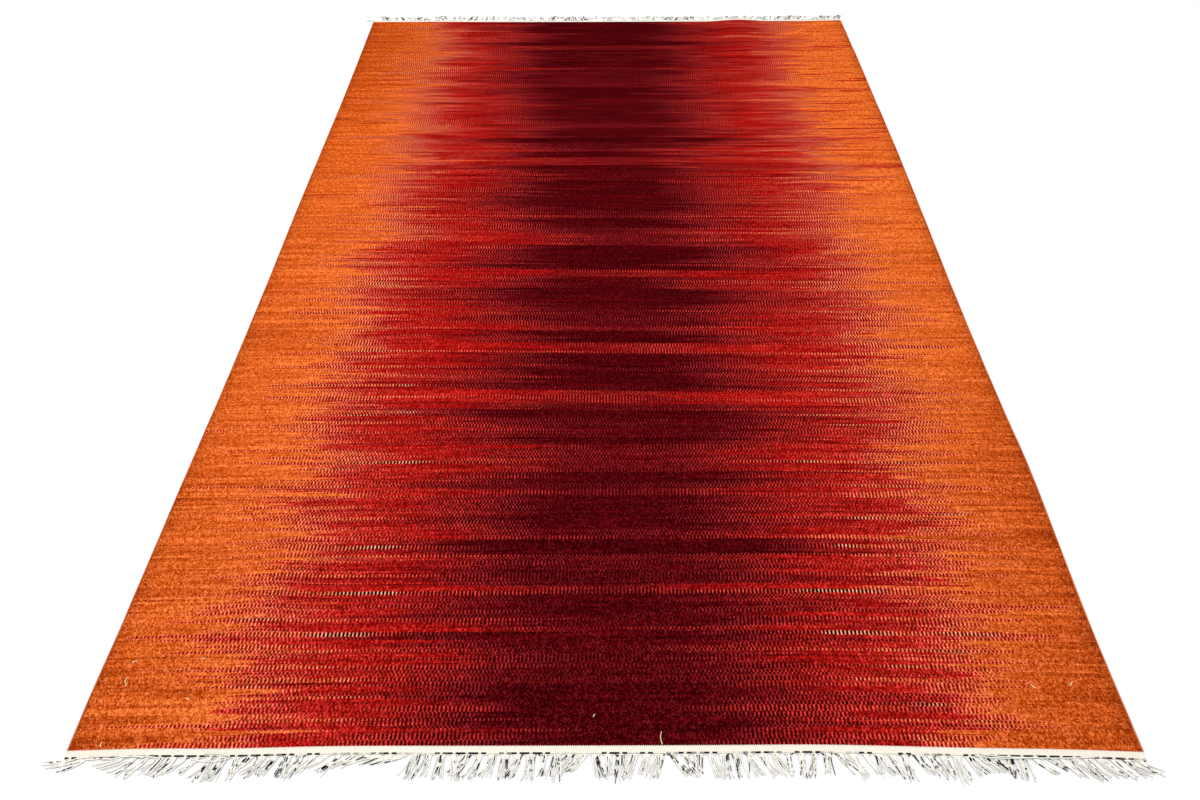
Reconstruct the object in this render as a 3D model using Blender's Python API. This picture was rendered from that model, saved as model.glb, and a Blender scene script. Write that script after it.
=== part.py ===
"""A flat-woven kilim rug lying on a floor.

The wool field is one tapestry-woven sheet with an overcast cord along each side. At both ends
the warp runs out of the wool into a narrow white cotton web, is tied off in a row of knots, and
its free ends lie on the floor as a fringe. Metres, +Z up, with the floor at Z = 0. The near end
is at -Y.
"""

import math
import random
from collections import namedtuple

import bmesh
import bpy
import numpy as np

# ---------------------------------------------------------------- driving dimensions
RUG_WIDTH = 2.00  # over both side cords
RUG_LENGTH = 3.00  # of the wool, without the cotton ends
WOOL_THICKNESS = 0.003
CORD_DIAMETER = 0.004
BAND_DEPTH = 0.0145  # of the white web, along the rug
BAND_THICKNESS = 0.0024
KNOT_ROW_DEPTH = 0.0035
KNOT_ROW_THICKNESS = 0.0028
GAP = 0.0003  # between pieces that touch

TASSELS = 84  # knots in one end's row
PAIRED_TASSELS = 64  # knots whose ends part into two locks, and the others have one
LOCK_WIDTH = 0.010  # at the root of a lock that is alone on its knot
PAIRED_LOCK_WIDTH = 0.0058
PAIR_SPACING = 0.0112
LOCK_LENGTH = 0.041
LOCK_LENGTH_SPREAD = 0.005
LEAN_SPREAD = 5.0  # degrees by which a tassel leaves its neighbours' direction
LOCK_CLEARANCE = 0.0012  # between neighbouring locks
SEED = 11

# Colour, as linear RGB, and roughness of each yarn
DYED_WOOL = ((0.42, 0.045, 0.018), 0.88)
CORD_WOOL = ((0.62, 0.20, 0.09), 0.85)
WEB_COTTON = ((0.84, 0.81, 0.74), 0.85)
WARP_COTTON = ((0.80, 0.77, 0.70), 0.82)

HALF_WIDTH = RUG_WIDTH / 2
HALF_LENGTH = RUG_LENGTH / 2
CORD_RADIUS = CORD_DIAMETER / 2
EVEN_COLUMNS = 16  # grid cells across the cloth where it has no ripple
EVEN_ROWS = 14
CLOSEST_LINES = 0.012
FACING_OUT = 0.7  # least share of a normal that points out of the rug, on its outer side

# ---------------------------------------------------------------- the uneven outline
# How far each side lies off its straight line, in millimetres towards +X.
Side = namedtuple("Side", "y left right")
SIDES = (
    Side(-1.50, -1.0, 2.5),
    Side(-1.45, -4.0, 3.5),
    Side(-1.33, 1.5, 0.0),
    Side(-1.12, 4.5, 3.0),
    Side(-0.88, 7.0, 9.0),
    Side(-0.60, 11.0, 4.0),
    Side(-0.25, 12.5, 2.5),
    Side(0.17, 10.0, 6.0),
    Side(0.52, 10.5, 7.5),
    Side(0.92, 11.0, 4.5),
    Side(1.17, 8.5, 3.0),
    Side(1.50, 4.5, -2.0),
)

# How far each end of the wool lies off its straight line, in millimetres towards +Y.
End = namedtuple("End", "x near far")
ENDS = (
    End(-1.00, -3.0, 10.0),
    End(-0.86, 1.5, 8.5),
    End(-0.70, 2.5, 7.0),
    End(-0.53, 7.0, 3.0),
    End(-0.19, 9.5, -2.0),
    End(0.18, 12.0, -5.0),
    End(0.40, 14.0, -7.0),
    End(0.67, 9.5, -7.0),
    End(0.86, 7.0, -7.5),
    End(1.00, 3.0, -4.0),
)

# Places where the cloth stands off the floor, with their reach each way and their height in m.
Ripple = namedtuple("Ripple", "x y reach_x reach_y height")
RIPPLES = (
    Ripple(0.560, 1.50, 0.140, 0.40, 0.0070),
    Ripple(0.680, 0.30, 0.140, 0.16, 0.0030),
    Ripple(-0.660, -1.17, 0.150, 0.18, 0.0035),
)

# Direction in which the fringe lies, in degrees from straight out of the rug towards +X.
Lean = namedtuple("Lean", "x near far")
LEANS = (
    Lean(-1.00, -36.0, -32.0),
    Lean(-0.84, -42.0, -14.0),
    Lean(-0.66, -36.0, -6.0),
    Lean(-0.52, -24.0, -12.0),
    Lean(-0.34, -27.0, 4.0),
    Lean(-0.19, -20.0, 8.0),
    Lean(-0.04, -2.0, -4.0),
    Lean(0.15, 13.0, 0.0),
    Lean(0.37, 14.0, 9.0),
    Lean(0.60, 30.0, 2.0),
    Lean(0.83, 33.0, 12.0),
    Lean(1.00, 38.0, 30.0),
)

# Sections of a lock beyond its root. Each share is of the lock's length, of its whole sideways
# reach, of its root's width, and of the lift that the cloth has at the root.
Section = namedtuple("Section", "length reach width lift thickness")
SECTIONS = (
    Section(0.30, 0.20, 0.92, 0.4, 0.0022),
    Section(0.65, 0.58, 0.78, 0.0, 0.0019),
    Section(1.00, 1.00, 0.50, 0.0, 0.0014),
)

Lock = namedtuple("Lock", "root width lean length")


# ---------------------------------------------------------------- how the rug lies
def smooth(table, by, of, at):
    """Column `of` of the table at the place `at` in column `by`, on a cubic through the rows."""
    places = np.array([getattr(row, by) for row in table])
    values = np.array([getattr(row, of) for row in table])
    slopes = np.gradient(values, places)
    row = np.clip(np.searchsorted(places, at) - 1, 0, len(places) - 2)
    span = places[row + 1] - places[row]
    u = (at - places[row]) / span
    ends = values[row] * (1 + 2 * u) * (1 - u) ** 2 + values[row + 1] * (3 - 2 * u) * u**2
    turns = slopes[row] * u * (1 - u) ** 2 - slopes[row + 1] * (1 - u) * u**2
    return ends + span * turns


def cloth_lines(half, even, centres, reaches):
    """Grid lines from -half to half: evenly spaced ones, and five across each ripple."""
    lines = list(np.linspace(-half, half, even + 1))
    for centre, reach in zip(centres, reaches):
        lines += [centre + reach * share for share in (-1, -0.5, 0, 0.5, 1)]
    kept = [-half]
    for line in sorted(lines):
        if kept[-1] + CLOSEST_LINES < line < half - CLOSEST_LINES:
            kept.append(line)
    return np.array(kept + [half])


COLUMNS = cloth_lines(
    HALF_WIDTH, EVEN_COLUMNS, [r.x for r in RIPPLES], [r.reach_x for r in RIPPLES]
)
ROWS = cloth_lines(
    HALF_LENGTH, EVEN_ROWS, [r.y for r in RIPPLES], [r.reach_y for r in RIPPLES]
)
LEFT = smooth(SIDES, "y", "left", ROWS) / 1000
RIGHT = smooth(SIDES, "y", "right", ROWS) / 1000
NEAR = smooth(ENDS, "x", "near", COLUMNS) / 1000
FAR = smooth(ENDS, "x", "far", COLUMNS) / 1000


def lift(x, y):
    """Height of the cloth's underside: each ripple is a cosine-squared hump, flat at its rim."""
    height = 0.0
    for ripple in RIPPLES:
        away = math.hypot((x - ripple.x) / ripple.reach_x, (y - ripple.y) / ripple.reach_y)
        height += ripple.height * math.cos(math.pi / 2 * min(away, 1.0)) ** 2
    return height


def lay(x, y):
    """Where a point of a perfectly straight rug lies on this one, as (x, y, z)."""
    across = (x + HALF_WIDTH) / RUG_WIDTH
    along = np.clip((y + HALF_LENGTH) / RUG_LENGTH, 0, 1)
    side_shift = (1 - across) * np.interp(y, ROWS, LEFT) + across * np.interp(y, ROWS, RIGHT)
    end_shift = (1 - along) * np.interp(x, COLUMNS, NEAR) + along * np.interp(x, COLUMNS, FAR)
    return (x + side_shift, y + end_shift, lift(x, y))


# ---------------------------------------------------------------- building tools
def clear_scene():
    for obj in list(bpy.data.objects):
        bpy.data.objects.remove(obj, do_unlink=True)


def yarn_material(name, yarn):
    colour, roughness = yarn
    material = bpy.data.materials.new(name)
    material.use_nodes = True
    shader = material.node_tree.nodes["Principled BSDF"]
    shader.inputs["Base Color"].default_value = (*colour, 1.0)
    shader.inputs["Roughness"].default_value = roughness
    shader.inputs["Metallic"].default_value = 0.0
    return material


def add_object(name, data, material):
    data.materials.append(material)
    obj = bpy.data.objects.new(name, data)
    bpy.data.collections["kilim_rug"].objects.link(obj)
    return obj


def cloth_strip(across, along, thickness):
    """A bmesh of flat cloth: a grid on these lines, laid as the rug lies, then given thickness."""
    bm = bmesh.new()
    cells_x, cells_y = len(across) - 1, len(along) - 1
    bmesh.ops.create_grid(bm, x_segments=cells_x, y_segments=cells_y, size=0.5)
    for vertex in bm.verts:
        column = round((vertex.co.x + 0.5) * cells_x)
        row = round((vertex.co.y + 0.5) * cells_y)
        vertex.co = lay(across[column], along[row])
    raised = bmesh.ops.extrude_face_region(bm, geom=bm.faces[:])["geom"]
    corners = [item for item in raised if isinstance(item, bmesh.types.BMVert)]
    bmesh.ops.translate(bm, verts=corners, vec=(0, 0, thickness))
    bmesh.ops.recalc_face_normals(bm, faces=bm.faces[:])
    return bm


def finish_mesh(bm, name, material):
    mesh = bpy.data.meshes.new(name)
    bm.to_mesh(mesh)
    bm.free()
    return add_object(name, mesh, material)


# ---------------------------------------------------------------- the pieces
def wool_field(material):
    """The tapestry sheet between the two side cords."""
    half = HALF_WIDTH - CORD_DIAMETER - GAP
    across = np.concatenate([[-half], COLUMNS[1:-1], [half]])
    finish_mesh(cloth_strip(across, ROWS, WOOL_THICKNESS), "wool_field", material)


def side_cord(name, side, material):
    """The overcast cord along one side, a round cord that rests on the floor."""
    curve = bpy.data.curves.new(name, "CURVE")
    curve.dimensions = "3D"
    curve.bevel_depth = CORD_RADIUS
    curve.bevel_resolution = 2
    curve.use_fill_caps = True
    spline = curve.splines.new("POLY")
    spline.points.add(len(ROWS) - 1)
    for point, y in zip(spline.points, ROWS):
        place_x, place_y, height = lay(side * (HALF_WIDTH - CORD_RADIUS), y)
        point.co = (place_x, place_y, height + CORD_RADIUS, 1.0)
    add_object(name, curve, material)


def end_band(name, end, material):
    """The white cotton web beyond one end of the wool."""
    edges = (HALF_LENGTH + GAP, HALF_LENGTH + GAP + BAND_DEPTH)
    along = sorted(end * edge for edge in edges)
    finish_mesh(cloth_strip(COLUMNS, along, BAND_THICKNESS), name, material)


def fringe_locks(end, rng):
    """The locks of one end from left to right, one or two on each knot."""
    pitch = RUG_WIDTH / TASSELS
    paired = set(rng.sample(range(TASSELS), PAIRED_TASSELS))
    side = "near" if end < 0 else "far"
    locks = []
    for knot in range(TASSELS):
        centre = -HALF_WIDTH + (knot + 0.5) * pitch
        lean = smooth(LEANS, "x", side, centre) + rng.uniform(-LEAN_SPREAD, LEAN_SPREAD)
        offsets = (-PAIR_SPACING / 2, PAIR_SPACING / 2) if knot in paired else (0.0,)
        width = PAIRED_LOCK_WIDTH if knot in paired else LOCK_WIDTH
        for offset in offsets:
            length = LOCK_LENGTH + rng.uniform(-LOCK_LENGTH_SPREAD, LOCK_LENGTH_SPREAD)
            locks.append(Lock(centre + offset, width, math.radians(lean), length))
    return locks


def section_centres(locks, roots, section):
    """X of every lock at one section, each kept clear of the lock to its left."""
    centres = []
    for number, (lock, root) in enumerate(zip(locks, roots)):
        x = root.x + section.reach * lock.length * math.sin(lock.lean)
        if number > 0:
            widths = (lock.width + locks[number - 1].width) * section.width
            x = max(x, centres[-1] + widths / 2 + LOCK_CLEARANCE)
        centres.append(x)
    return centres


def fringe(name, end, rng, material):
    """The row of knots with its locks, each drawn out of its own face of the row's outer side."""
    locks = fringe_locks(end, rng)
    inner = HALF_LENGTH + 2 * GAP + BAND_DEPTH
    root_edges = [lock.root + half * lock.width / 2 for lock in locks for half in (-1, 1)]
    across = [-HALF_WIDTH, *root_edges, HALF_WIDTH]
    along = sorted((end * inner, end * (inner + KNOT_ROW_DEPTH)))
    bm = cloth_strip(across, along, KNOT_ROW_THICKNESS)

    def from_left(faces):
        return sorted(faces, key=lambda face: face.calc_center_median().x)

    # Along the outer side, plain faces and the roots of locks take turns, a plain one first.
    growing = from_left(face for face in bm.faces if face.normal.y * end > FACING_OUT)[1::2]
    roots = [face.calc_center_median() for face in growing]
    for section in SECTIONS:
        grown = bmesh.ops.extrude_discrete_faces(bm, faces=growing)["faces"]
        growing = from_left(grown)
        centres = section_centres(locks, roots, section)
        for face, lock, root, x in zip(growing, locks, roots, centres):
            middle = face.calc_center_median()
            y = root.y + end * section.length * lock.length * math.cos(lock.lean)
            bottom = section.lift * (root.z - KNOT_ROW_THICKNESS / 2)
            for vertex in face.verts:
                half = math.copysign(lock.width * section.width / 2, vertex.co.x - middle.x)
                top = section.thickness if vertex.co.z > middle.z else 0.0
                vertex.co = (x + half, y, bottom + top)
    finish_mesh(bm, name, material)


def main():
    clear_scene()
    bpy.context.scene.collection.children.link(bpy.data.collections.new("kilim_rug"))
    rng = random.Random(SEED)
    wool_field(yarn_material("dyed_wool", DYED_WOOL))
    cord_wool = yarn_material("cord_wool", CORD_WOOL)
    side_cord("side_cord_left", -1, cord_wool)
    side_cord("side_cord_right", 1, cord_wool)
    web_cotton = yarn_material("web_cotton", WEB_COTTON)
    end_band("end_band_near", -1, web_cotton)
    end_band("end_band_far", 1, web_cotton)
    warp_cotton = yarn_material("warp_cotton", WARP_COTTON)
    fringe("fringe_near", -1, rng, warp_cotton)
    fringe("fringe_far", 1, rng, warp_cotton)


main()
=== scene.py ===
"""Looks of a flat-woven wool kilim rug with cotton end webs and a knotted fringe, on a pale floor.

Each section below is one piece of the rug, in the order in which it is woven, bound and tied.
Metres, +Z up, the floor at Z = 0, the near end at -Y.
"""

import math
from collections import namedtuple

import bpy
import numpy as np
from mathutils import Matrix


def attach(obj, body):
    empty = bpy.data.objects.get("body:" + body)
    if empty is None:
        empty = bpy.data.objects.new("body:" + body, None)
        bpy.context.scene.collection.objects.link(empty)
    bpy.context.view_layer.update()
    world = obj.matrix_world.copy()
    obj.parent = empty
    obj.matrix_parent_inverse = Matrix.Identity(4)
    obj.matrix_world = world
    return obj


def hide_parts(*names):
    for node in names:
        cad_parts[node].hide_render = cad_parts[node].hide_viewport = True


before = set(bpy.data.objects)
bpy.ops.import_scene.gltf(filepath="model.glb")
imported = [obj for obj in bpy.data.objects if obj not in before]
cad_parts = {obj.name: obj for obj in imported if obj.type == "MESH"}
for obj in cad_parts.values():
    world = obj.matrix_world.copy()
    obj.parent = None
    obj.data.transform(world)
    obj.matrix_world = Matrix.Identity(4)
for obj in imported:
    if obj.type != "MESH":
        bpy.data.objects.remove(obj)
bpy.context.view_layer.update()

# ---------------------------------------------------------------- camera
# A phone held at eye height, half a metre in front of the near end, looks down along the rug.
CAMERA_PLACE = (0.0175, -2.0072, 1.5815)
CAMERA_DOWN = 0.8552  # radians below the horizon
CAMERA_TURN = 0.0189  # to the left
CAMERA_ROLL = -0.0155
CAMERA_LENS = 24.6  # mm, as is the next
SENSOR_WIDTH = 36.0

camera = bpy.data.objects.new("camera", bpy.data.cameras.new("camera"))
camera.data.sensor_width = SENSOR_WIDTH
camera.data.lens = CAMERA_LENS
camera.matrix_world = (
    Matrix.Translation(CAMERA_PLACE)
    @ Matrix.Rotation(CAMERA_TURN, 4, "Z")
    @ Matrix.Rotation(math.pi / 2 - CAMERA_DOWN, 4, "X")
    @ Matrix.Rotation(CAMERA_ROLL, 4, "Z")
)
bpy.context.scene.collection.objects.link(camera)
bpy.context.scene.camera = camera

# ---------------------------------------------------------------- floor and light
# A plain white floor under an even white sky, with one large soft lamp overhead.
FLOOR_REACH = 9.0
FLOOR_DROP = 0.0002  # below the rug's underside
FLOOR_WHITE = (0.95, 0.95, 0.95, 1.0)
FLOOR_ROUGHNESS = 0.9
FLOOR_SHINE = 0.1
SKY_STRENGTH = 0.92
LAMP_PLACE = (-0.9, 0.6, 3.6)
LAMP_SIZE = 3.2
LAMP_POWER = 62.0

floor_mesh = bpy.data.meshes.new("floor")
corner_signs = ((-1, -1), (1, -1), (1, 1), (-1, 1))
floor_corners = [(x * FLOOR_REACH, y * FLOOR_REACH, -FLOOR_DROP) for x, y in corner_signs]
floor_mesh.from_pydata(floor_corners, [], [(0, 1, 2, 3)])
floor = bpy.data.objects.new("floor", floor_mesh)
floor_paint = bpy.data.materials.new("floor_paint")
floor_paint.use_nodes = True
floor_shader = floor_paint.node_tree.nodes["Principled BSDF"]
floor_shader.inputs["Base Color"].default_value = FLOOR_WHITE
floor_shader.inputs["Roughness"].default_value = FLOOR_ROUGHNESS
floor_shader.inputs["Specular IOR Level"].default_value = FLOOR_SHINE
floor_mesh.materials.append(floor_paint)
bpy.context.scene.collection.objects.link(floor)

sky = bpy.data.worlds.new("sky")
sky.use_nodes = True
sky.node_tree.nodes["Background"].inputs["Color"].default_value = (1.0, 1.0, 1.0, 1.0)
sky.node_tree.nodes["Background"].inputs["Strength"].default_value = SKY_STRENGTH
bpy.context.scene.world = sky

lamp = bpy.data.objects.new("lamp", bpy.data.lights.new("lamp", "AREA"))
lamp.data.size = LAMP_SIZE
lamp.data.energy = LAMP_POWER
lamp.location = LAMP_PLACE
bpy.context.scene.collection.objects.link(lamp)
bpy.context.scene.view_settings.view_transform = "Standard"

# ---------------------------------------------------------------- wool field
# The rug's ground is one weft-faced tapestry sheet: dyed wool wefts are beaten down over cotton
# warps 4 mm apart, until they hide them. Two wefts share each row of teeth, a darker one on every
# second warp and a lighter one on those between, so that their colours run into each other.
HALF_WIDTH = 1.0
HALF_LENGTH = 1.5
CORD_DIAMETER = 0.004
GAP = 0.0003  # between pieces that touch
WOOL_HALF = HALF_WIDTH - CORD_DIAMETER - GAP
WOOL_THICKNESS = 0.003
WARP_PITCH = 0.004
WOOL_OVER_WEB = 0.0018  # by which its last picks cover the web's first ones
STRAIGHT_END = 0.06  # from the wool's end, over which its wefts get back to straight
EDGE_BELT = 0.03  # the frame's points this near a side of the wool's box lie on that edge

# Places where the cloth stands off the floor, with their reach each way and their height.
Ripple = namedtuple("Ripple", "x y reach_x reach_y height")
RIPPLES = (
    Ripple(0.560, 1.50, 0.140, 0.40, 0.0070),
    Ripple(0.680, 0.30, 0.140, 0.16, 0.0030),
    Ripple(-0.660, -1.17, 0.150, 0.18, 0.0035),
)


def through(places, values, at):
    """Values at the places `at`, on a cubic through the sorted points (places, values): the two
    values at the ends of each stretch, and the two slopes there, weighted by Hermite's cubics."""
    slopes = np.gradient(values, places)
    row = np.clip(np.searchsorted(places, at) - 1, 0, len(places) - 2)
    span = places[row + 1] - places[row]
    u = np.clip((at - places[row]) / span, 0, 1)
    ends = values[row] * (1 + 2 * u) * (1 - u) ** 2 + values[row + 1] * (3 - 2 * u) * u**2
    turns = slopes[row] * u * (1 - u) ** 2 - slopes[row + 1] * (1 - u) * u**2
    return ends + span * turns


def edge_shift(points, side, along, out, straight):
    """How far one edge of the wool lies off its straight line, as (places, shifts): the points
    within EDGE_BELT of that side of the box, in the order of the other axis."""
    edge = points[side * points[:, out] > (side * points[:, out]).max() - EDGE_BELT]
    places, first = np.unique(np.round(edge[:, along], 4), return_index=True)
    return places, edge[first, out] - side * straight


wool_points = np.array([v.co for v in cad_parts["wool_field"].data.vertices])
LEFT_EDGE = edge_shift(wool_points, -1, 1, 0, WOOL_HALF)
RIGHT_EDGE = edge_shift(wool_points, 1, 1, 0, WOOL_HALF)
NEAR_EDGE = edge_shift(wool_points, -1, 0, 1, HALF_LENGTH)
FAR_EDGE = edge_shift(wool_points, 1, 0, 1, HALF_LENGTH)


def lie(x, y, height):
    """Where a point of a perfectly straight rug lies on this one: the edges' shifts, blended in
    proportion across and along, and on Z the height above the cloth's underside plus each
    ripple's cosine-squared hump. Takes and gives whole arrays."""
    across = (x + HALF_WIDTH) / (2 * HALF_WIDTH)
    along = np.clip((y + HALF_LENGTH) / (2 * HALF_LENGTH), 0, 1)
    on_side = np.clip(y, -HALF_LENGTH, HALF_LENGTH)
    on_end = np.clip(x, -WOOL_HALF, WOOL_HALF)
    side = (1 - across) * through(*LEFT_EDGE, on_side) + across * through(*RIGHT_EDGE, on_side)
    end = (1 - along) * through(*NEAR_EDGE, on_end) + along * through(*FAR_EDGE, on_end)
    z = height + 0 * x
    for ripple in RIPPLES:
        away = np.hypot((x - ripple.x) / ripple.reach_x, (y - ripple.y) / ripple.reach_y)
        z = z + ripple.height * np.cos(math.pi / 2 * np.minimum(away, 1)) ** 2
    return np.stack([x + side, y + end, z], axis=-1)


# The wefts don't run straight across. At each height, how much lower they lie on the right than
# on the left, in millimetres.
Slant = namedtuple("Slant", "y drop")
SLANTS = (
    Slant(-1.50, 0.0),
    Slant(-1.40, 0.0),
    Slant(-1.20, -5.0),
    Slant(-0.95, 0.0),
    Slant(-0.78, 0.0),
    Slant(-0.69, 12.0),
    Slant(-0.55, 24.0),
    Slant(-0.44, 12.0),
    Slant(-0.28, 12.0),
    Slant(-0.15, 20.0),
    Slant(-0.02, 13.0),
    Slant(0.14, 12.0),
    Slant(0.28, 33.0),
    Slant(0.36, 8.0),
    Slant(0.50, 0.0),
    Slant(1.50, 0.0),
)
SLANT_HALF = 0.72  # the wefts slope between these distances from the middle
ARCH = (-0.72, -1.17, 0.13, 0.20, 0.007)  # x, y, reach_x, reach_y and height of a bow in the wefts


def weft_wander(x, y):
    """How far a weft lies off its straight line, towards +Y: the slants' drop, eased in from left
    to right by a half cosine, and one cosine-squared bow."""
    eased = 0.5 - 0.5 * np.cos(math.pi * np.clip((x / SLANT_HALF + 1) / 2, 0, 1))
    drop = np.interp(y, [s.y for s in SLANTS], [s.drop for s in SLANTS]) / 1000
    bow = np.cos(math.pi / 2 * np.clip((x - ARCH[0]) / ARCH[2], -1, 1)) ** 2
    bow = bow * np.cos(math.pi / 2 * np.clip((y - ARCH[1]) / ARCH[3], -1, 1)) ** 2
    return -drop * eased + ARCH[4] * bow


# The colour bands from the far end to the near one. Each starts at `far` and runs to the next.
# Between the columns orange_left and orange_right the wool is red, and between red_left and
# red_right it is maroon, in millimetres from the middle. `middle` is how dark the centre gets,
# from 0.55 for red to 1 for nearly black.
Band = namedtuple("Band", "far orange_left red_left red_right orange_right middle")
BANDS = (
    Band(1500, -690, -440, 420, 660, 0.93),
    Band(1395, -640, -400, 380, 640, 0.90),
    Band(1345, -660, -420, 390, 660, 0.90),
    Band(1312, -660, -550, 490, 680, 1.00),
    Band(1283, -650, -340, 300, 640, 0.72),
    Band(1246, -650, -430, 430, 650, 0.98),
    Band(1224, -630, -410, 380, 640, 0.88),
    Band(1150, -640, -420, 400, 670, 0.96),
    Band(1104, -600, -280, 250, 620, 0.82),
    Band(1085, -630, -430, 370, 640, 0.86),
    Band(985, -580, -390, 320, 600, 0.80),
    Band(945, -660, -430, 370, 660, 0.95),
    Band(880, -630, -380, 330, 640, 0.88),
    Band(815, -640, -360, 360, 650, 0.90),
    Band(690, -640, -330, 330, 640, 0.80),
    Band(655, -620, -340, 380, 650, 0.92),
    Band(605, -700, -280, 330, 640, 0.86),
    Band(587, -640, -510, 530, 660, 1.00),
    Band(560, -660, -360, 400, 690, 0.85),
    Band(520, -620, -170, 210, 620, 0.80),
    Band(503, -640, -380, 360, 660, 0.92),
    Band(470, -560, -190, 250, 620, 0.62),
    Band(425, -680, -390, 380, 680, 0.95),
    Band(398, -640, -340, 350, 660, 0.88),
    Band(345, -600, -210, 240, 640, 0.80),
    Band(333, -660, -400, 370, 690, 1.00),
    Band(312, -620, -300, 330, 660, 0.90),
    Band(287, -650, -400, 370, 640, 0.92),
    Band(225, -660, -380, 390, 680, 0.91),
    Band(173, -620, -330, 330, 640, 0.86),
    Band(146, -640, -190, 210, 640, 0.86),
    Band(128, -650, -340, 360, 660, 0.97),
    Band(80, -600, -260, 270, 620, 0.82),
    Band(48, -600, -120, 305, 640, 0.72),
    Band(-8, -660, -380, 425, 690, 0.98),
    Band(-95, -720, -440, 435, 740, 0.90),
    Band(-118, -600, -100, 135, 640, 0.55),
    Band(-150, -630, -280, 305, 640, 0.90),
    Band(-200, -680, -440, 455, 700, 0.96),
    Band(-226, -650, -380, 425, 690, 0.92),
    Band(-292, -640, -280, 365, 680, 0.84),
    Band(-360, -600, -180, 235, 640, 0.68),
    Band(-380, -650, -330, 375, 650, 0.97),
    Band(-432, -600, -60, 95, 620, 0.55),
    Band(-466, -650, -280, 355, 660, 0.93),
    Band(-512, -700, -400, 365, 700, 0.86),
    Band(-530, -640, -340, 375, 690, 0.96),
    Band(-580, -700, -400, 335, 740, 0.88),
    Band(-597, -620, -60, 95, 680, 0.56),
    Band(-645, -640, -260, 335, 680, 0.78),
    Band(-668, -660, -450, 485, 700, 0.95),
    Band(-700, -660, -340, 425, 695, 0.84),
    Band(-760, -660, -350, 415, 690, 1.00),
    Band(-790, -620, -200, 275, 660, 0.76),
    Band(-868, -640, -330, 435, 680, 0.95),
    Band(-900, -720, -400, 355, 740, 0.86),
    Band(-918, -600, -210, 265, 650, 0.76),
    Band(-934, -660, -350, 375, 700, 0.93),
    Band(-1025, -600, -230, 315, 660, 0.82),
    Band(-1048, -620, -450, 485, 680, 0.98),
    Band(-1090, -600, -280, 295, 680, 0.82),
    Band(-1118, -650, -330, 380, 685, 0.88),
    Band(-1168, -660, -190, 95, 690, 0.86),
    Band(-1186, -660, -340, 370, 680, 0.92),
    Band(-1236, -700, -300, 365, 720, 0.90),
    Band(-1262, -660, -150, 235, 700, 0.84),
    Band(-1272, -700, -400, 365, 740, 0.95),
    Band(-1288, -650, -340, 365, 680, 0.90),
    Band(-1312, -660, -240, 315, 690, 0.86),
    Band(-1340, -670, -330, 370, 695, 0.88),
    Band(-1382, -650, -340, 385, 672, 0.96),
    Band(-1440, -680, -380, 415, 700, 0.96),
    Band(-1465, -640, -340, 375, 640, 0.93),
)

# The rows of teeth that reach furthest out: their height along the rug, where the dark weft ends
# on the left and on the right, and how far the two wefts overlap, from 0, as elsewhere, to 1.
ToothRow = namedtuple("ToothRow", "y tall left right overlap")
TOOTH_ROWS = (
    ToothRow(840, 6, -760, 830, 0.0),
    ToothRow(567, 6, -800, 870, 0.0),
    ToothRow(508, 8, -830, 850, 0.1),
    ToothRow(352, 5, -990, 990, 0.0),
    ToothRow(228, 5, -850, 800, 0.2),
    ToothRow(140, 8, -850, 880, 0.3),
    ToothRow(122, 5, -850, 860, 0.3),
    ToothRow(77, 5, -900, 800, 0.2),
    ToothRow(33, 5, -760, 880, 0.2),
    ToothRow(-100, 5, -780, 800, 0.2),
    ToothRow(-205, 5, -850, 990, 0.2),
    ToothRow(-300, 8, -850, 870, 0.3),
    ToothRow(-463, 7, -800, 880, 0.3),
    ToothRow(-520, 8, -860, 800, 0.5),
    ToothRow(-552, 7, -760, 900, 0.4),
    ToothRow(-587, 8, -900, 820, 0.6),
    ToothRow(-628, 8, -880, 920, 0.3),
    ToothRow(-680, 6, -800, 850, 0.4),
    ToothRow(-715, 6, -780, 850, 0.3),
    ToothRow(-838, 8, -880, 880, 0.8),
    ToothRow(-907, 8, -950, 900, 0.4),
    ToothRow(-937, 6, -800, 820, 0.3),
    ToothRow(-997, 8, -850, 860, 0.4),
    ToothRow(-1072, 8, -800, 920, 0.6),
    ToothRow(-1095, 6, -860, 920, 0.4),
    ToothRow(-1143, 7, -870, 860, 0.4),
    ToothRow(-1184, 8, -900, 930, 1.0),
    ToothRow(-1245, 7, -900, 860, 0.5),
    ToothRow(-1277, 9, -970, 930, 1.0),
    ToothRow(-1312, 7, -880, 850, 0.3),
    ToothRow(-1345, 6, -880, 840, 0.3),
    ToothRow(-1372, 8, -850, 860, 0.5),
    ToothRow(-1450, 6, -820, 850, 0.3),
)
FULL_OVERLAP = (0.580, 0.450)  # in the strongest rows, where the maroon ends and the orange ends

# How the wool runs out at the two sides: its tone there, from 0 for rust to 1 for light orange.
SideTone = namedtuple("SideTone", "y left right")
SIDE_TONES = (
    SideTone(-1.50, 0.36, 0.20),
    SideTone(-1.10, 0.44, 0.30),
    SideTone(-0.60, 0.54, 0.48),
    SideTone(0.00, 0.54, 0.72),
    SideTone(0.60, 0.48, 0.88),
    SideTone(1.10, 0.30, 0.92),
    SideTone(1.50, 0.14, 0.88),
)
SIDE_TONE_CHANCE = 0.12  # standard deviation from row to row
SIDE_TONE_LIMITS = (-0.3, 0.95)

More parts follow.
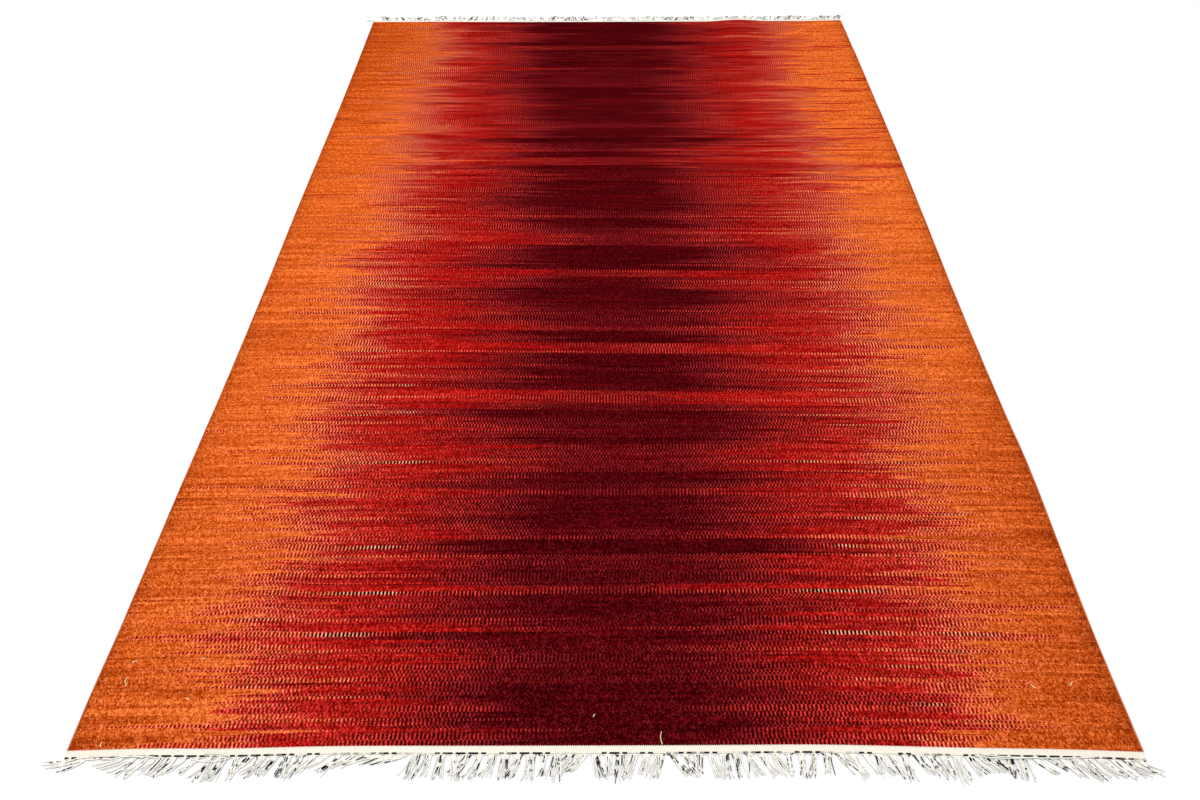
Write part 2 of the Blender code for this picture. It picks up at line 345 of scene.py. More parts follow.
# All the other rows are worked out from chance. Plain rows, where the two wefts stop nearly
# together, take turns with one tall row of teeth or with a few low ones, and some rows of teeth
# end in a thin line of one of the wefts alone.
WEAVE_SEED = 5
PLAIN_TALL = (0.004, 0.015)  # least and most
TOOTH_TALL = (0.008, 0.019)
LOW_TOOTH_TALL = (0.0050, 0.0090)
LINE_TALL = (0.0010, 0.0022)
LOW_TEETH_SHARE = 0.62  # of the changes between plain rows, those with several low rows of teeth
LOW_TEETH_ROWS = (2, 4)  # fewest and most of them
LINE_SHARE = 0.30  # of the rows of teeth, those with a line above them
DARK_LINE_SHARE = 0.6  # of the lines, those of the dark weft
SHED_CHANGE_SHARE = 0.6  # of the rows, those whose dark weft covers the other warps than the last's
ROW_STEP = 0.0045  # between two lines of the mesh inside a row
ROW_GAP = 0.0005  # between the lines of two rows
# How far past the colour change the orange's dark weft, its light weft, the maroon's dark weft
# and its light weft reach, as a fixed part and the mean of a random part, in plain rows and in
# rows of teeth.
PLAIN_REACH = ((0.03, 0.00, 0.03, 0.01), (0.06, 0.03, 0.05, 0.04))
TOOTH_REACH = ((0.09, -0.07, 0.08, 0.03), (0.075, 0.03, 0.05, 0.05))
LONGEST_REACH = (0.32, 0.14, 0.20, 0.16)
NAMED_REACH = 0.08  # of the two wefts of TOOTH_ROWS past the colour changes, inwards and outwards
TIP_TAPER = 0.6  # a tooth row's reach at its upper and lower edge falls by this share
LENS = 0.11  # how far the middle of a plain row bulges inwards or outwards, at most
ROW_WANDER = 0.018  # standard deviation of a row's colour changes along it
# Standard deviation of the tone from one row or line to the next, in the orange, in the red and
# in the maroon, which have the tones STREAK_AT.
STREAK_TONE = (0.14, 0.16, 0.08)
STREAK_AT = (0.9, 1.5, 2.3)
STREAK_KNOTS = 11  # points across the rug, between which a streak changes evenly
PATCH_KNOTS = 29  # the same for changes within a row
FLECK = 1.3  # tone changes within a row, compared with those from row to row
TEETH_SEEN = (0.88, 0.42)  # mean and deviation of how far a row's two wefts differ along it
MIDDLE_DARKER = 0.35  # the dark weft's tone in the middle over the light one's

TOP_COLUMNS = 42
UNDER_STEP = 7  # the underside has a column for each this many of the top's

MIDDLE_DARK = 3.0  # tone of the darkest wool, where 0 is rust, 1 the end of orange, 2 of red
MIDDLE_SCALE = 2.2  # by how much less dark in tone a band is whose middle is 0
ORANGE_RISE = 0.35  # by which the orange's tone rises towards its inner end
ORANGE_END = 0.93  # its tone there, at most
RED_START = 1.3  # tone of the red at its outer end
DARK_START = 1.85  # the same of the dark weft in a row of teeth
DARK_WIDTH = 0.26  # over which that weft's extra tone is lost again
STEP_WIDTH = 0.02  # over which the one gives way to the other
LEAST_RED = 0.03  # width of the red at its narrowest
MAROON_WIDTH = 0.14  # over which the maroon darkens by 1


def grid_faces(rows, columns):
    """Quads of a grid of rows x columns points that are numbered row by row, facing up."""
    corner = np.arange(rows - 1)[:, None] * columns + np.arange(columns - 1)[None, :]
    quads = np.stack([corner, corner + 1, corner + columns + 1, corner + columns], axis=-1)
    return quads.reshape(-1, 4)


def tone_across(x, edge, orange, start, red, middle):
    """Tone at x from one side towards the middle, in whole arrays: from the edge's own tone, with
    the square of the distance, up by ORANGE_RISE where the orange ends, then a step up to start,
    of which what is over RED_START is lost over DARK_WIDTH, evenly up to 2 where the red ends,
    and on up to the middle's."""
    end = np.minimum(edge + ORANGE_RISE, ORANGE_END)
    outer = edge + (end - edge) * np.clip((x + HALF_WIDTH) / (orange + HALF_WIDTH), 0, 1) ** 2
    step = (start - end) * np.clip((x - orange) / STEP_WIDTH, 0, 1)
    lost = (start - RED_START) * np.clip((x - orange) / DARK_WIDTH, 0, 1)
    inner = (2 - RED_START) * np.clip((x - orange) / np.maximum(red - orange, LEAST_RED), 0, 1)
    centre = np.clip((x - red) / MAROON_WIDTH, 0, 1)
    return np.minimum(outer + step - lost + inner + centre, middle)


Row = namedtuple("Row", "low high kind tooth")  # tooth is its number in TOOTH_ROWS, or -1


def chance_rows(rng, low, high):
    """Rows from chance that fill the rug from low to high: a plain row, then one tall row of teeth
    or a few low ones, and so on, all made taller or lower by the same share until they fit."""
    tall, kinds = [], []
    while sum(tall) < high - low:
        tall.append(rng.uniform(*PLAIN_TALL))
        kinds.append("plain")
        few = rng.random() < LOW_TEETH_SHARE
        for _ in range(rng.integers(LOW_TEETH_ROWS[0], LOW_TEETH_ROWS[1] + 1) if few else 1):
            tall.append(rng.uniform(*(LOW_TOOTH_TALL if few else TOOTH_TALL)))
            kinds.append("teeth")
            if rng.random() < LINE_SHARE:
                tall.append(rng.uniform(*LINE_TALL))
                kinds.append("line")
    edges = low + np.concatenate([[0], np.cumsum(tall)]) * (high - low) / sum(tall)
    return [Row(a, b, kind, -1) for a, b, kind in zip(edges, edges[1:], kinds)]


def all_rows(rng):
    """The rug's rows from the near end to the far one: TOOTH_ROWS and chance between them."""
    rows, low = [], -HALF_LENGTH
    for number, tooth in sorted(enumerate(TOOTH_ROWS), key=lambda item: item[1].y):
        start, end = ((tooth.y + half * tooth.tall / 2) / 1000 for half in (-1, 1))
        rows += chance_rows(rng, low, start) + [Row(start, end, "teeth", number)]
        low = end
    return rows + chance_rows(rng, low, HALF_LENGTH)


def streaks(rng, rows, x, count=STREAK_KNOTS):
    """Random numbers, normal about 0, on count knots across for each row and linear between."""
    knots = np.linspace(-HALF_WIDTH, HALF_WIDTH, count)
    tones = rng.normal(0, 1, (rows, count))
    column = np.clip(np.searchsorted(knots, x) - 1, 0, count - 2)
    share = (x - knots[column]) / (knots[1] - knots[0])
    return tones[:, column] * (1 - share) + tones[:, column + 1] * share


def streaked(tone, streak):
    """Tones with their streaks, which don't carry the orange past its end."""
    changed = tone + streak * np.interp(tone, STREAK_AT, STREAK_TONE)
    return np.where(tone <= ORANGE_END, np.minimum(changed, ORANGE_END), changed)


def weave_tones(rng, rows, row, x, y):
    """The tones of the dark and of the light weft at each point of a grid with columns x and lines
    y, of which row gives the number in rows, and which warps the dark one covers, a number that
    flips between 0 and 1 by row of teeth. A weft's tone is tone_across from the nearer side, with
    the dark one's colour changes further out than the band's and the light one's further in, by
    the row's reach. A share of both wefts' difference from their mean is seen, and streaks are
    added."""
    low, high = (np.array([getattr(r, end) for r in rows]) for end in ("low", "high"))
    kind = np.array([r.kind for r in rows])
    band = np.searchsorted([-b.far / 1000 for b in BANDS], -(low + high) / 2, side="right") - 1
    bands = np.array(BANDS)[np.clip(band, 0, len(BANDS) - 1)][row]
    teeth = np.array(TOOTH_ROWS)[[r.tooth for r in rows]][row]
    is_named = np.array([r.tooth >= 0 for r in rows])[row][:, None]
    is_plain = (kind == "plain")[:, None]
    within = ((2 * y - low[row] - high[row]) / (high - low)[row])[:, None]
    taper = 1 - TIP_TAPER * within**2
    overlap = teeth[:, 4:5]

    # Where each side's colours change, how far the wefts reach past that, and the tones it gives.
    middle = MIDDLE_DARK - MIDDLE_SCALE * (1 - bands[:, 5:6])
    dark_middle = np.minimum(middle + MIDDLE_DARKER, MIDDLE_DARK)
    dark_start = np.where(is_plain, RED_START, DARK_START)[row]
    dark, light = [], []
    for side in (-1, 1):
        orange, red = (abs(bands[:, k : k + 1]) / 1000 for k in ((1, 2) if side < 0 else (4, 3)))
        fixed, mean = (np.where(is_plain, PLAIN_REACH[k], TOOTH_REACH[k]) for k in (0, 1))
        reach = np.minimum(fixed + mean * rng.exponential(1, mean.shape), LONGEST_REACH)[row]
        reach = reach * np.where(is_plain[row], 1, taper)
        reach_out, reach_in, maroon_out, red_in = (reach[:, k : k + 1] for k in range(4))
        end = abs(teeth[:, 2:3] if side < 0 else teeth[:, 3:4]) / 1000
        reach_out = np.where(is_named, (end - orange) * taper, reach_out)
        short = (1 - overlap) * NAMED_REACH * taper
        reach_in = np.where(is_named, short + overlap * (orange - FULL_OVERLAP[1]), reach_in)
        maroon_out = np.where(is_named, short + overlap * (FULL_OVERLAP[0] - red), maroon_out)
        bulge = np.where(is_plain, rng.uniform(-LENS, LENS, (len(rows), 2)), 0)[row] * (1 - within**2)
        shift = rng.normal(0, ROW_WANDER, (len(rows), 2))[row] + bulge
        at_side = np.interp(y, [t.y for t in SIDE_TONES], [t[1 if side < 0 else 2] for t in SIDE_TONES])
        edge = at_side[:, None] + rng.normal(0, SIDE_TONE_CHANCE, (len(rows), 1))[row]
        edge = np.clip(edge, *SIDE_TONE_LIMITS)
        towards = -side * x  # grows towards the middle from this side
        orange_end, red_end = shift[:, :1] - orange, shift[:, 1:] - red
        dark.append(
            tone_across(towards, edge, orange_end - reach_out, dark_start, red_end - maroon_out, dark_middle)
        )
        light.append(
            tone_across(towards, edge, orange_end + reach_in, RED_START, red_end + red_in, middle)
        )
    dark, light = np.minimum(*dark), np.minimum(*light)

    # Teeth that show less in places, lines of one weft, and streaks.
    seen_share = TEETH_SEEN[0] + TEETH_SEEN[1] * streaks(rng, len(rows), x, PATCH_KNOTS)[row]
    seen_share = np.where(is_named, 1.0, np.clip(seen_share, 0, 1))
    mean = (dark + light) / 2
    dark, light = (mean + (tone - mean) * seen_share for tone in (dark, light))
    one_weft = np.where(rng.random((len(rows), 1)) < DARK_LINE_SHARE, 1.0, 0.0)[row]
    line = (kind == "line")[row][:, None]
    dark, light = (np.where(line, dark * one_weft + light * (1 - one_weft), tone) for tone in (dark, light))
    streak = streaks(rng, len(rows), x)[row] + FLECK * streaks(rng, len(row), x, PATCH_KNOTS)
    shed = np.cumsum(rng.random(len(rows)) < SHED_CHANGE_SHARE) % 2
    return streaked(dark, streak), streaked(light, streak), shed[row][:, None] + 0 * x


def new_mesh(name, points, faces):
    """A mesh object from an array of points and a list of faces, with smooth shading."""
    mesh = bpy.data.meshes.new(name)
    mesh.from_pydata(points, [], faces)
    mesh.shade_smooth()
    obj = bpy.data.objects.new(name, mesh)
    bpy.context.scene.collection.objects.link(obj)
    return obj


def closed_cloth(name, x, y, place, height, step):
    """A closed sheet on columns x and rows y: a fine top, an underside with every step-th column,
    walls of quads along both sides and of many-cornered faces along both ends."""
    top_x, top_y = np.meshgrid(x, y)
    under_x, under_y = np.meshgrid(x[::step], y)
    top = place(top_x, top_y, height)
    under = place(under_x, under_y, 0.0)
    columns, under_columns, rows = len(x), len(x[::step]), len(y)
    first = top_x.size
    faces = [grid_faces(rows, columns), first + grid_faces(rows, under_columns)[:, ::-1]]
    line = np.arange(rows - 1)
    for top_end, under_end, turn in ((0, 0, 1), (columns - 1, under_columns - 1, -1)):
        a, b = line * columns + top_end, first + line * under_columns + under_end
        wall = np.stack([a, a + columns, b + under_columns, b], axis=-1)
        faces.append(wall[:, ::turn])
    faces = [f for group in faces for f in group.tolist()]
    for last, turn in ((0, -1), (rows - 1, 1)):
        for k in range(under_columns - 1):
            upper = last * columns + np.arange(k * step, (k + 1) * step + 1)
            lower = first + last * under_columns + np.array([k + 1, k])
            ring = np.concatenate([upper, lower])[::-turn]
            faces.append(ring.tolist())
    points = np.concatenate([top.reshape(-1, 3), under.reshape(-1, 3)])
    flat = np.concatenate(
        [np.stack([top_x, top_y], -1).reshape(-1, 2), np.stack([under_x, under_y], -1).reshape(-1, 2)]
    )
    return new_mesh(name, points, faces), flat


def lie_as_woven(x, y, height):
    """As lie, for the wool: a row of points follows a weft, which wanders inside the field."""
    fade = np.clip((HALF_LENGTH - abs(y)) / STRAIGHT_END, 0, 1)
    y = y * (1 + WOOL_OVER_WEB / HALF_LENGTH)
    return lie(x, y + fade * weft_wander(x, y), height)


wool_x = np.linspace(-WOOL_HALF, WOOL_HALF, TOP_COLUMNS + 1)
rng = np.random.default_rng(WEAVE_SEED)
rows = all_rows(rng)
lines = [
    np.linspace(row.low + ROW_GAP / 2, row.high - ROW_GAP / 2, 2 + int((row.high - row.low) / ROW_STEP))
    for row in rows
]
wool_y = np.concatenate(lines)
wool_row = np.repeat(np.arange(len(rows)), [len(group) for group in lines])
wool, wool_flat = closed_cloth("wool_kilim_field", wool_x, wool_y, lie_as_woven, WOOL_THICKNESS, UNDER_STEP)


def set_attribute(obj, name, values):
    """Gives a mesh one number for each point, which its material reads."""
    obj.data.attributes.new(name, "FLOAT", "POINT").data.foreach_set("value", values.astype(np.float32))


top_tones = weave_tones(rng, rows, wool_row, wool_x, wool_y)
for tone_name, tone in zip(("dark_weft", "light_weft", "shed"), top_tones):
    set_attribute(wool, tone_name, np.concatenate([tone.ravel(), tone[:, ::UNDER_STEP].ravel()]))


def set_flat_map(cloth, flat):
    """Gives a cloth the UV map "weave": each point's place in metres before the rug was laid."""
    corners = np.empty(len(cloth.data.loops), np.int32)
    cloth.data.loops.foreach_get("vertex_index", corners)
    layer = cloth.data.uv_layers.new(name="weave")
    layer.uv.foreach_set("vector", flat[corners].astype(np.float32).ravel())


set_flat_map(wool, wool_flat)

# The map that a baked picture of the wool uses, from 0 to 1 each way: the top gets most of its
# width, and the walls lie in narrow strips.
TOP_SHARE = 0.86
UNDER_FROM = 0.87
WALL_STRIP = 0.002  # width of a side wall's strip, and of the spaces beside it
END_MARGIN = 0.01
END_WALL_FROM = 0.002
END_WALL_STRIP = 0.003


def set_bake_map(cloth, flat, top_points, quads):
    """Gives a closed cloth the UV map "OFBake": the top's places in proportion across from 0 to
    TOP_SHARE, the underside's from UNDER_FROM to 1, both in proportion along between the margins,
    the side walls in the strip between them, and the end walls in the margins. The first `quads`
    faces are four-cornered and the rest are end walls."""
    corners = np.empty(len(cloth.data.loops), np.int32)
    cloth.data.loops.foreach_get("vertex_index", corners)
    across = (flat[corners, 0] + WOOL_HALF) / (2 * WOOL_HALF)
    along = (flat[corners, 1] + HALF_LENGTH) / (2 * HALF_LENGTH)
    is_under = corners >= top_points
    face = np.minimum(np.arange(len(corners)) // 4, quads)
    under_corners = is_under[: 4 * quads].reshape(-1, 4).sum(axis=1)
    is_wall = np.append((under_corners > 0) & (under_corners < 4), False)[face]
    is_end = face == quads
    u = np.where(is_under, UNDER_FROM + (1 - UNDER_FROM) * across, TOP_SHARE * across)
    u = np.where(is_wall, TOP_SHARE + WALL_STRIP * (1 + is_under + 2 * (across > 0.5)), u)
    u = np.where(is_end, TOP_SHARE * across, u)
    v = END_MARGIN + (1 - 2 * END_MARGIN) * along
    inwards = END_WALL_FROM + END_WALL_STRIP * is_under
    v = np.where(is_end, along + np.where(along > 0.5, -1, 1) * inwards, v)
    layer = cloth.data.uv_layers.new(name="OFBake")
    layer.uv.foreach_set("vector", np.stack([u, v], -1).astype(np.float32).ravel())


wool_top_points = len(wool_x) * len(wool_y)
end_walls = 2 * (len(wool_x[::UNDER_STEP]) - 1)
set_bake_map(wool, wool_flat, wool_top_points, len(wool.data.polygons) - end_walls)


def seen(red, green, blue):
    """Linear colour of a dye, or of a painted shade or highlight, that reads as this sRGB colour, 0 to 255,
    in the room's light: by the sRGB curve, a power of 2.4 with a straight start."""
    return tuple(((c / 255 + 0.055) / 1.055) ** 2.4 if c > 10 else c / 3295 for c in (red, green, blue))


def add_node(tree, kind, settings=(), **inputs):
    """A node of this kind. settings are its own properties. An input is named by its socket, with
    _ for a space or its number after an n, and is a constant or another node's output."""
    node = tree.nodes.new(kind)
    for key, value in dict(settings).items():
        setattr(node, key, value)
    for key, value in inputs.items():
        socket = node.inputs[int(key[1:])] if key[1:].isdigit() else node.inputs[key.replace("_", " ")]
        if isinstance(value, bpy.types.NodeSocket):
            tree.links.new(value, socket)
        else:
            socket.default_value = value
    return node


def calc(tree, operation, first, second=0.0, third=0.0):
    """Output of a Math node."""
    settings = {"operation": operation}
    return add_node(tree, "ShaderNodeMath", settings, n0=first, n1=second, n2=third).outputs[0]


def product(tree, total, *factors):
    """Output of Math nodes that multiply a value by each of the factors in turn."""
    for factor in factors:
        total = calc(tree, "MULTIPLY", total, factor)
    return total


def between(tree, value, low, high, to_low=0.0, to_high=1.0, kind="SMOOTHSTEP"):
    """Output of a Map Range node, eased unless kind says otherwise."""
    settings = {"interpolation_type": kind, "clamp": True}
    return add_node(
        tree, "ShaderNodeMapRange", settings, n0=value, n1=low, n2=high, n3=to_low, n4=to_high
    ).outputs[0]


def mixed(tree, share, first, second, blend="MIX"):
    """Colour output of a Mix node."""
    settings = {"data_type": "RGBA", "blend_type": blend}
    node = add_node(tree, "ShaderNodeMix", settings, n0=share, n6=first, n7=second)
    return node.outputs[2]


# The grain of woven yarn: how much each unevenness counts in it. The first three have the second
# number as their weight in even yarn, and the first one added to it in slubbed yarn.
CROSSING_WEIGHT = (-0.10, 0.46)  # from one crossing of warp and weft to the next
PAIR_WEIGHT = (-0.26, 0.28)  # from two picks on one rib to the next two
SLUB_WEIGHT = (0.30, 0.02)  # thick and thin places
FIBRE_WEIGHT = 0.20
STREAK_WEIGHT = 0.06  # long streaks along the weft
NOISE_USED = (0.34, 0.66)  # the part of a noise's range that most of it lies in
STREAK_USED = (0.32, 0.68)
FIBRE_SCALE = 0.9  # cells of the fibres' noise in one rib or pick
SLUB_SCALE = 0.62  # cells of the slubs' in one rib
SLUB_STRETCH = 0.26  # of that, cells in one pick
STREAK_SCALE = 0.45  # cells of the streaks' in one pick
STREAK_STRETCH = 0.06  # of that, cells in one rib
PICK_STAGGER = 0.37  # of a pick, from one half of a rib to the next
FLAT_SHARE = 0.4  # of the weave's height, what doesn't swell from pick to pick
FIBRE_HEIGHT = 0.5
PAIR_SEED = 7.0


def yarn_grain_group():
    """Shader group for woven yarn: from a place on the cloth in metres it gives a shade from 0 to 1
    that is the weighted sum of chance for each crossing of warp and weft, chance for each pair of
    picks, and noises for fibres, slubs and streaks, and the height of ribs and picks, each a half
    sine. As Slub goes from 0 to 1, the slubs take the place of most of the unevenness in pairs."""
    group = bpy.data.node_groups.new("yarn_grain", "ShaderNodeTree")
    for name, value in (("Across", 0.0), ("Along", 0.0), ("Rib", 0.004), ("Pick", 0.002), ("Slub", 0.5)):
        socket = group.interface.new_socket(name, in_out="INPUT", socket_type="NodeSocketFloat")
        socket.default_value = value
    for name in ("Shade", "Height"):
        group.interface.new_socket(name, in_out="OUTPUT", socket_type="NodeSocketFloat")
    place = group.nodes.new("NodeGroupInput").outputs

    def at(x, y, z=0.0):
        """Output of a node that joins three numbers to one place."""
        return add_node(group, "ShaderNodeCombineXYZ", n0=x, n1=y, n2=z).outputs[0]

    def chance(dimensions, *cell):
        """A random number from 0 to 1 for a cell of the weave."""
        settings = {"noise_dimensions": dimensions}
        return add_node(group, "ShaderNodeTexWhiteNoise", settings, Vector=at(*cell)).outputs["Value"]

    ribs = calc(group, "DIVIDE", place["Across"], place["Rib"])
    picks = calc(group, "DIVIDE", place["Along"], place["Pick"])
    half_rib = calc(group, "FLOOR", product(group, ribs, 2.0))
    staggered = calc(group, "MULTIPLY_ADD", half_rib, PICK_STAGGER, picks)
    crossing = chance("2D", half_rib, calc(group, "FLOOR", staggered))
    pair_row = calc(group, "FLOOR", product(group, staggered, 0.5))
    pair_of_picks = chance("3D", calc(group, "FLOOR", ribs), pair_row, PAIR_SEED)
    fibre = add_node(
        group,
        "ShaderNodeTexNoise",
        Vector=at(ribs, picks),
        Scale=FIBRE_SCALE,
        Detail=2.0,
        Roughness=0.85,
    ).outputs[0]
    slub = add_node(
        group,
        "ShaderNodeTexNoise",
        Vector=at(ribs, product(group, picks, SLUB_STRETCH)),
        Scale=SLUB_SCALE,
        Detail=1.0,
        Roughness=0.9,
    ).outputs[0]
    streak = add_node(
        group,
        "ShaderNodeTexNoise",
        Vector=at(product(group, ribs, STREAK_STRETCH), picks),
        Scale=STREAK_SCALE,
        Detail=1.0,
    ).outputs[0]
    crossing_weight, pair_weight, slub_weight = (
        calc(group, "MULTIPLY_ADD", place["Slub"], *weight)
        for weight in (CROSSING_WEIGHT, PAIR_WEIGHT, SLUB_WEIGHT)
    )
    parts = (
        (crossing, 0.0, 1.0, crossing_weight),
        (pair_of_picks, 0.0, 1.0, pair_weight),
        (fibre, *NOISE_USED, FIBRE_WEIGHT),
        (slub, *NOISE_USED, slub_weight),
        (streak, *STREAK_USED, STREAK_WEIGHT),
    )
    shade = 0.0
    for part, low, high, weight in parts:
        shade = calc(group, "ADD", shade, between(group, part, low, high, 0.0, weight, "LINEAR"))
    rib_swell, pick_swell = (
        calc(group, "SINE", product(group, calc(group, "FRACT", count), math.pi))
        for count in (ribs, staggered)
    )
    height = calc(group, "MULTIPLY_ADD", pick_swell, 1 - FLAT_SHARE, FLAT_SHARE)
    height = calc(group, "ADD", product(group, rib_swell, height), product(group, fibre, FIBRE_HEIGHT))
    out = group.nodes.new("NodeGroupOutput")
    group.links.new(shade, out.inputs["Shade"])
    group.links.new(height, out.inputs["Height"])
    return group


YARN_GRAIN = yarn_grain_group()

# The dyes from the sides to the middle, by tone.
WOOL_DYES = (
    (0.00, seen(166, 60, 12)),
    (0.30, seen(188, 74, 17)),
    (0.60, seen(208, 89, 25)),
    (0.93, seen(227, 109, 41)),
    (0.99, seen(216, 88, 33)),
    (1.03, seen(176, 34, 18)),
    (1.30, seen(174, 20, 12)),
    (1.60, seen(162, 13, 10)),
    (1.90, seen(136, 9, 9)),
    (2.10, seen(106, 7, 9)),
    (2.50, seen(92, 4, 9)),
    (2.80, seen(82, 2, 7)),
    (3.00, seen(56, 1, 4)),
)
# Painted highlight: what a light tooth looks like between dark ones, by the same tones, as it stands up and
# catches the light.
TOOTH_HIGHLIGHTS = (
    (0.00, seen(214, 112, 58)),
    (0.90, seen(242, 130, 96)),
    (1.10, seen(240, 112, 92)),
    (1.50, seen(230, 86, 66)),
    (1.90, seen(204, 52, 44)),
    (2.30, seen(160, 40, 42)),
    (3.00, seen(122, 30, 34)),
)
CREAM_HIGHLIGHT = seen(240, 190, 152)  # painted highlight of a light tooth between nearly black ones
TOOTH_HIGHLIGHT_SHARE = (0.20, 0.60)  # of the painted highlight, the second, and by the first more between nearly black ones
UNEVEN_HIGHLIGHT = (0.65, 1.0)  # of that share, where the grain has these shades
UNEVEN_USED = (0.2, 0.8)
# Painted shade: by how much a dark tooth between light ones is darker than its dye, in orange wool and in
# red, at the worn near end and in the crisper weave beyond, where a painted highlight makes a light tooth
# brighter too.
TICK_SHADE = (0.14, 0.24)
CRISP_TICK_SHADE = (0.36, 0.44)
STRONG_TICK_SHADE = 0.4  # more, of a nearly black tooth in orange
CRISP_TICK_LIFT = 0.18
CRISP_FROM = (0.10, 0.45)  # shares of the rug's length, from the worn weave to the crisp one
CLASH = (0.10, 0.45)  # tone difference of two wefts at which teeth first and fully show
MAROON_DARK = (1.94, 2.25)  # tone of a dark weft that is first and fully maroon
ORANGE_LIGHT = (1.30, 1.00)  # tone of a light weft that is first and fully orange
RED_LIGHT = (0.95, 1.30)
TOOTH_EDGE = (0.42, 0.58)  # of the way from one warp to the next, where the wefts take turns
LIGHT_NARROWED = (0.08, 0.07)  # a light tooth: the second, and by the first more in black wool
WOOL_PICK = 0.0024
GRAIN_TONE = 0.16  # by which the grain changes the tone, from its darkest to its lightest
GRAIN_USED = (0.14, 0.86)  # shades of the grain at which the wool has its dye's light times these
GRAIN_LIGHT = (0.22, 1.78)
# How strongly the grain, with the teeth's painted shade and highlight, changes the red of orange wool, the
# red of red wool, the green and the blue.
SHADING_POWERS = (0.70, 1.15, 1.15, 1.5)
RED_POWER_AT = (0.95, 1.20)  # tones between which the second takes over from the first
FUZZ_SHARE = 0.32  # of paler colours in the tips of the fibres, at the near end: partly their wear, partly a painted highlight
FUZZ_USED = (0.50, 0.85)  # the grain's shades that are such tips
FAR_FUZZ = 0.35  # how much of that is left at the far end, where the wool is less worn
YARN_SHINE = 0.005
WOOL_RELIEF = (0.6, 0.0006)  # strength and height of the bumps


def new_material(name, roughness):
    """A material with one Principled shader, as (material, node tree, shader)."""
    material = bpy.data.materials.new(name)
    material.use_nodes = True
    shader = material.node_tree.nodes["Principled BSDF"]
    shader.inputs["Roughness"].default_value = roughness
    shader.inputs["Specular IOR Level"].default_value = YARN_SHINE
    return material, material.node_tree, shader


def woven_place(tree, pick):
    """A cloth's place in metres from its UV map "weave", and the grain of its yarn there, with
    picks this far apart, as (the place's outputs, the grain's node)."""
    weave = add_node(tree, "ShaderNodeUVMap", {"uv_map": "weave"})
    place = add_node(tree, "ShaderNodeSeparateXYZ", n0=weave.outputs[0]).outputs
    settings = {"node_tree": YARN_GRAIN}
    grain = add_node(
        tree, "ShaderNodeGroup", settings, Across=place[0], Along=place[1], Rib=WARP_PITCH, Pick=pick
    )
    return place, grain


def attribute(tree, name):
    """Output of a node that reads one of a mesh's numbers."""
    return add_node(tree, "ShaderNodeAttribute", {"attribute_name": name}).outputs["Fac"]


def set_relief(tree, shader, relief, height):
    """Gives a shader the bumps of this height, with relief's strength and height."""
    bump = add_node(tree, "ShaderNodeBump", Strength=relief[0], Distance=relief[1], Height=height)
    tree.links.new(bump.outputs[0], shader.inputs["Normal"])


def tone_ramp(tree, tone, stop_colours):
    """Colour output of a ramp of these colours, dyes or painted highlights, each at its own tone from 0 to
    MIDDLE_DARK.
    """
    node = add_node(tree, "ShaderNodeValToRGB", Fac=calc(tree, "DIVIDE", tone, MIDDLE_DARK))
    stops = node.color_ramp.elements
    for number, (at, colour) in enumerate(stop_colours):
        stop = stops[number] if number < 2 else stops.new(at / MIDDLE_DARK)
        stop.position = at / MIDDLE_DARK
        stop.color = (*colour, 1.0)
    return node.outputs[0]


wool_dye, tree, shader = new_material("dyed_wool", 1.0)
place, grain = woven_place(tree, WOOL_PICK)
dark_weft, light_weft, shed = (attribute(tree, name) for name in ("dark_weft", "light_weft", "shed"))
towards_far = between(tree, place[1], -HALF_LENGTH, HALF_LENGTH, kind="LINEAR")
tree.links.new(towards_far, grain.inputs["Slub"])
shade = grain.outputs["Shade"]

# How far the two wefts of a row stand out from each other, and whether one of them is maroon and
# the other orange.
difference = calc(tree, "SUBTRACT", dark_weft, light_weft)
clash = between(tree, difference, *CLASH)
strong = product(tree, between(tree, dark_weft, *MAROON_DARK), between(tree, light_weft, *ORANGE_LIGHT))

# The wefts take turns from warp to warp, in a wave that shifts by one warp with the shed. A light
# tooth is narrower than the dark one beside it, and more so where all else is dark.
pairs = calc(tree, "MULTIPLY_ADD", shed, 0.5, calc(tree, "DIVIDE", place[0], 2 * WARP_PITCH))
pair_wave = product(tree, calc(tree, "PINGPONG", pairs, 0.5), 2.0)
narrowed = calc(tree, "MULTIPLY_ADD", strong, *LIGHT_NARROWED)
on_light = between(tree, pair_wave, *(calc(tree, "ADD", narrowed, edge) for edge in TOOTH_EDGE))
tone = calc(tree, "SUBTRACT", dark_weft, product(tree, on_light, difference))
tone = calc(tree, "ADD", tone, calc(tree, "MULTIPLY_ADD", shade, GRAIN_TONE, -GRAIN_TONE / 2))

# Painted highlight: light teeth among dark ones are paler than their dye, as they catch the light, and so
# are the tips of worn fibres, partly from their wear and partly as a painted highlight.
highlight_ramp = tone_ramp(tree, tone, TOOTH_HIGHLIGHTS)
highlight_colour = mixed(tree, strong, highlight_ramp, (*CREAM_HIGHLIGHT, 1.0))
light_tooth = product(tree, clash, on_light)
highlight_share = calc(tree, "MULTIPLY_ADD", strong, *TOOTH_HIGHLIGHT_SHARE)
uneven = between(tree, shade, *UNEVEN_USED, *UNEVEN_HIGHLIGHT, "LINEAR")
colour = tone_ramp(tree, tone, WOOL_DYES)
colour = mixed(tree, product(tree, light_tooth, highlight_share, uneven), colour, highlight_colour)
wear = between(tree, towards_far, 0.0, 1.0, 1.0, FAR_FUZZ, "LINEAR")
fuzz = between(tree, shade, *FUZZ_USED, 0.0, FUZZ_SHARE)
colour = mixed(tree, product(tree, fuzz, wear), colour, highlight_ramp)
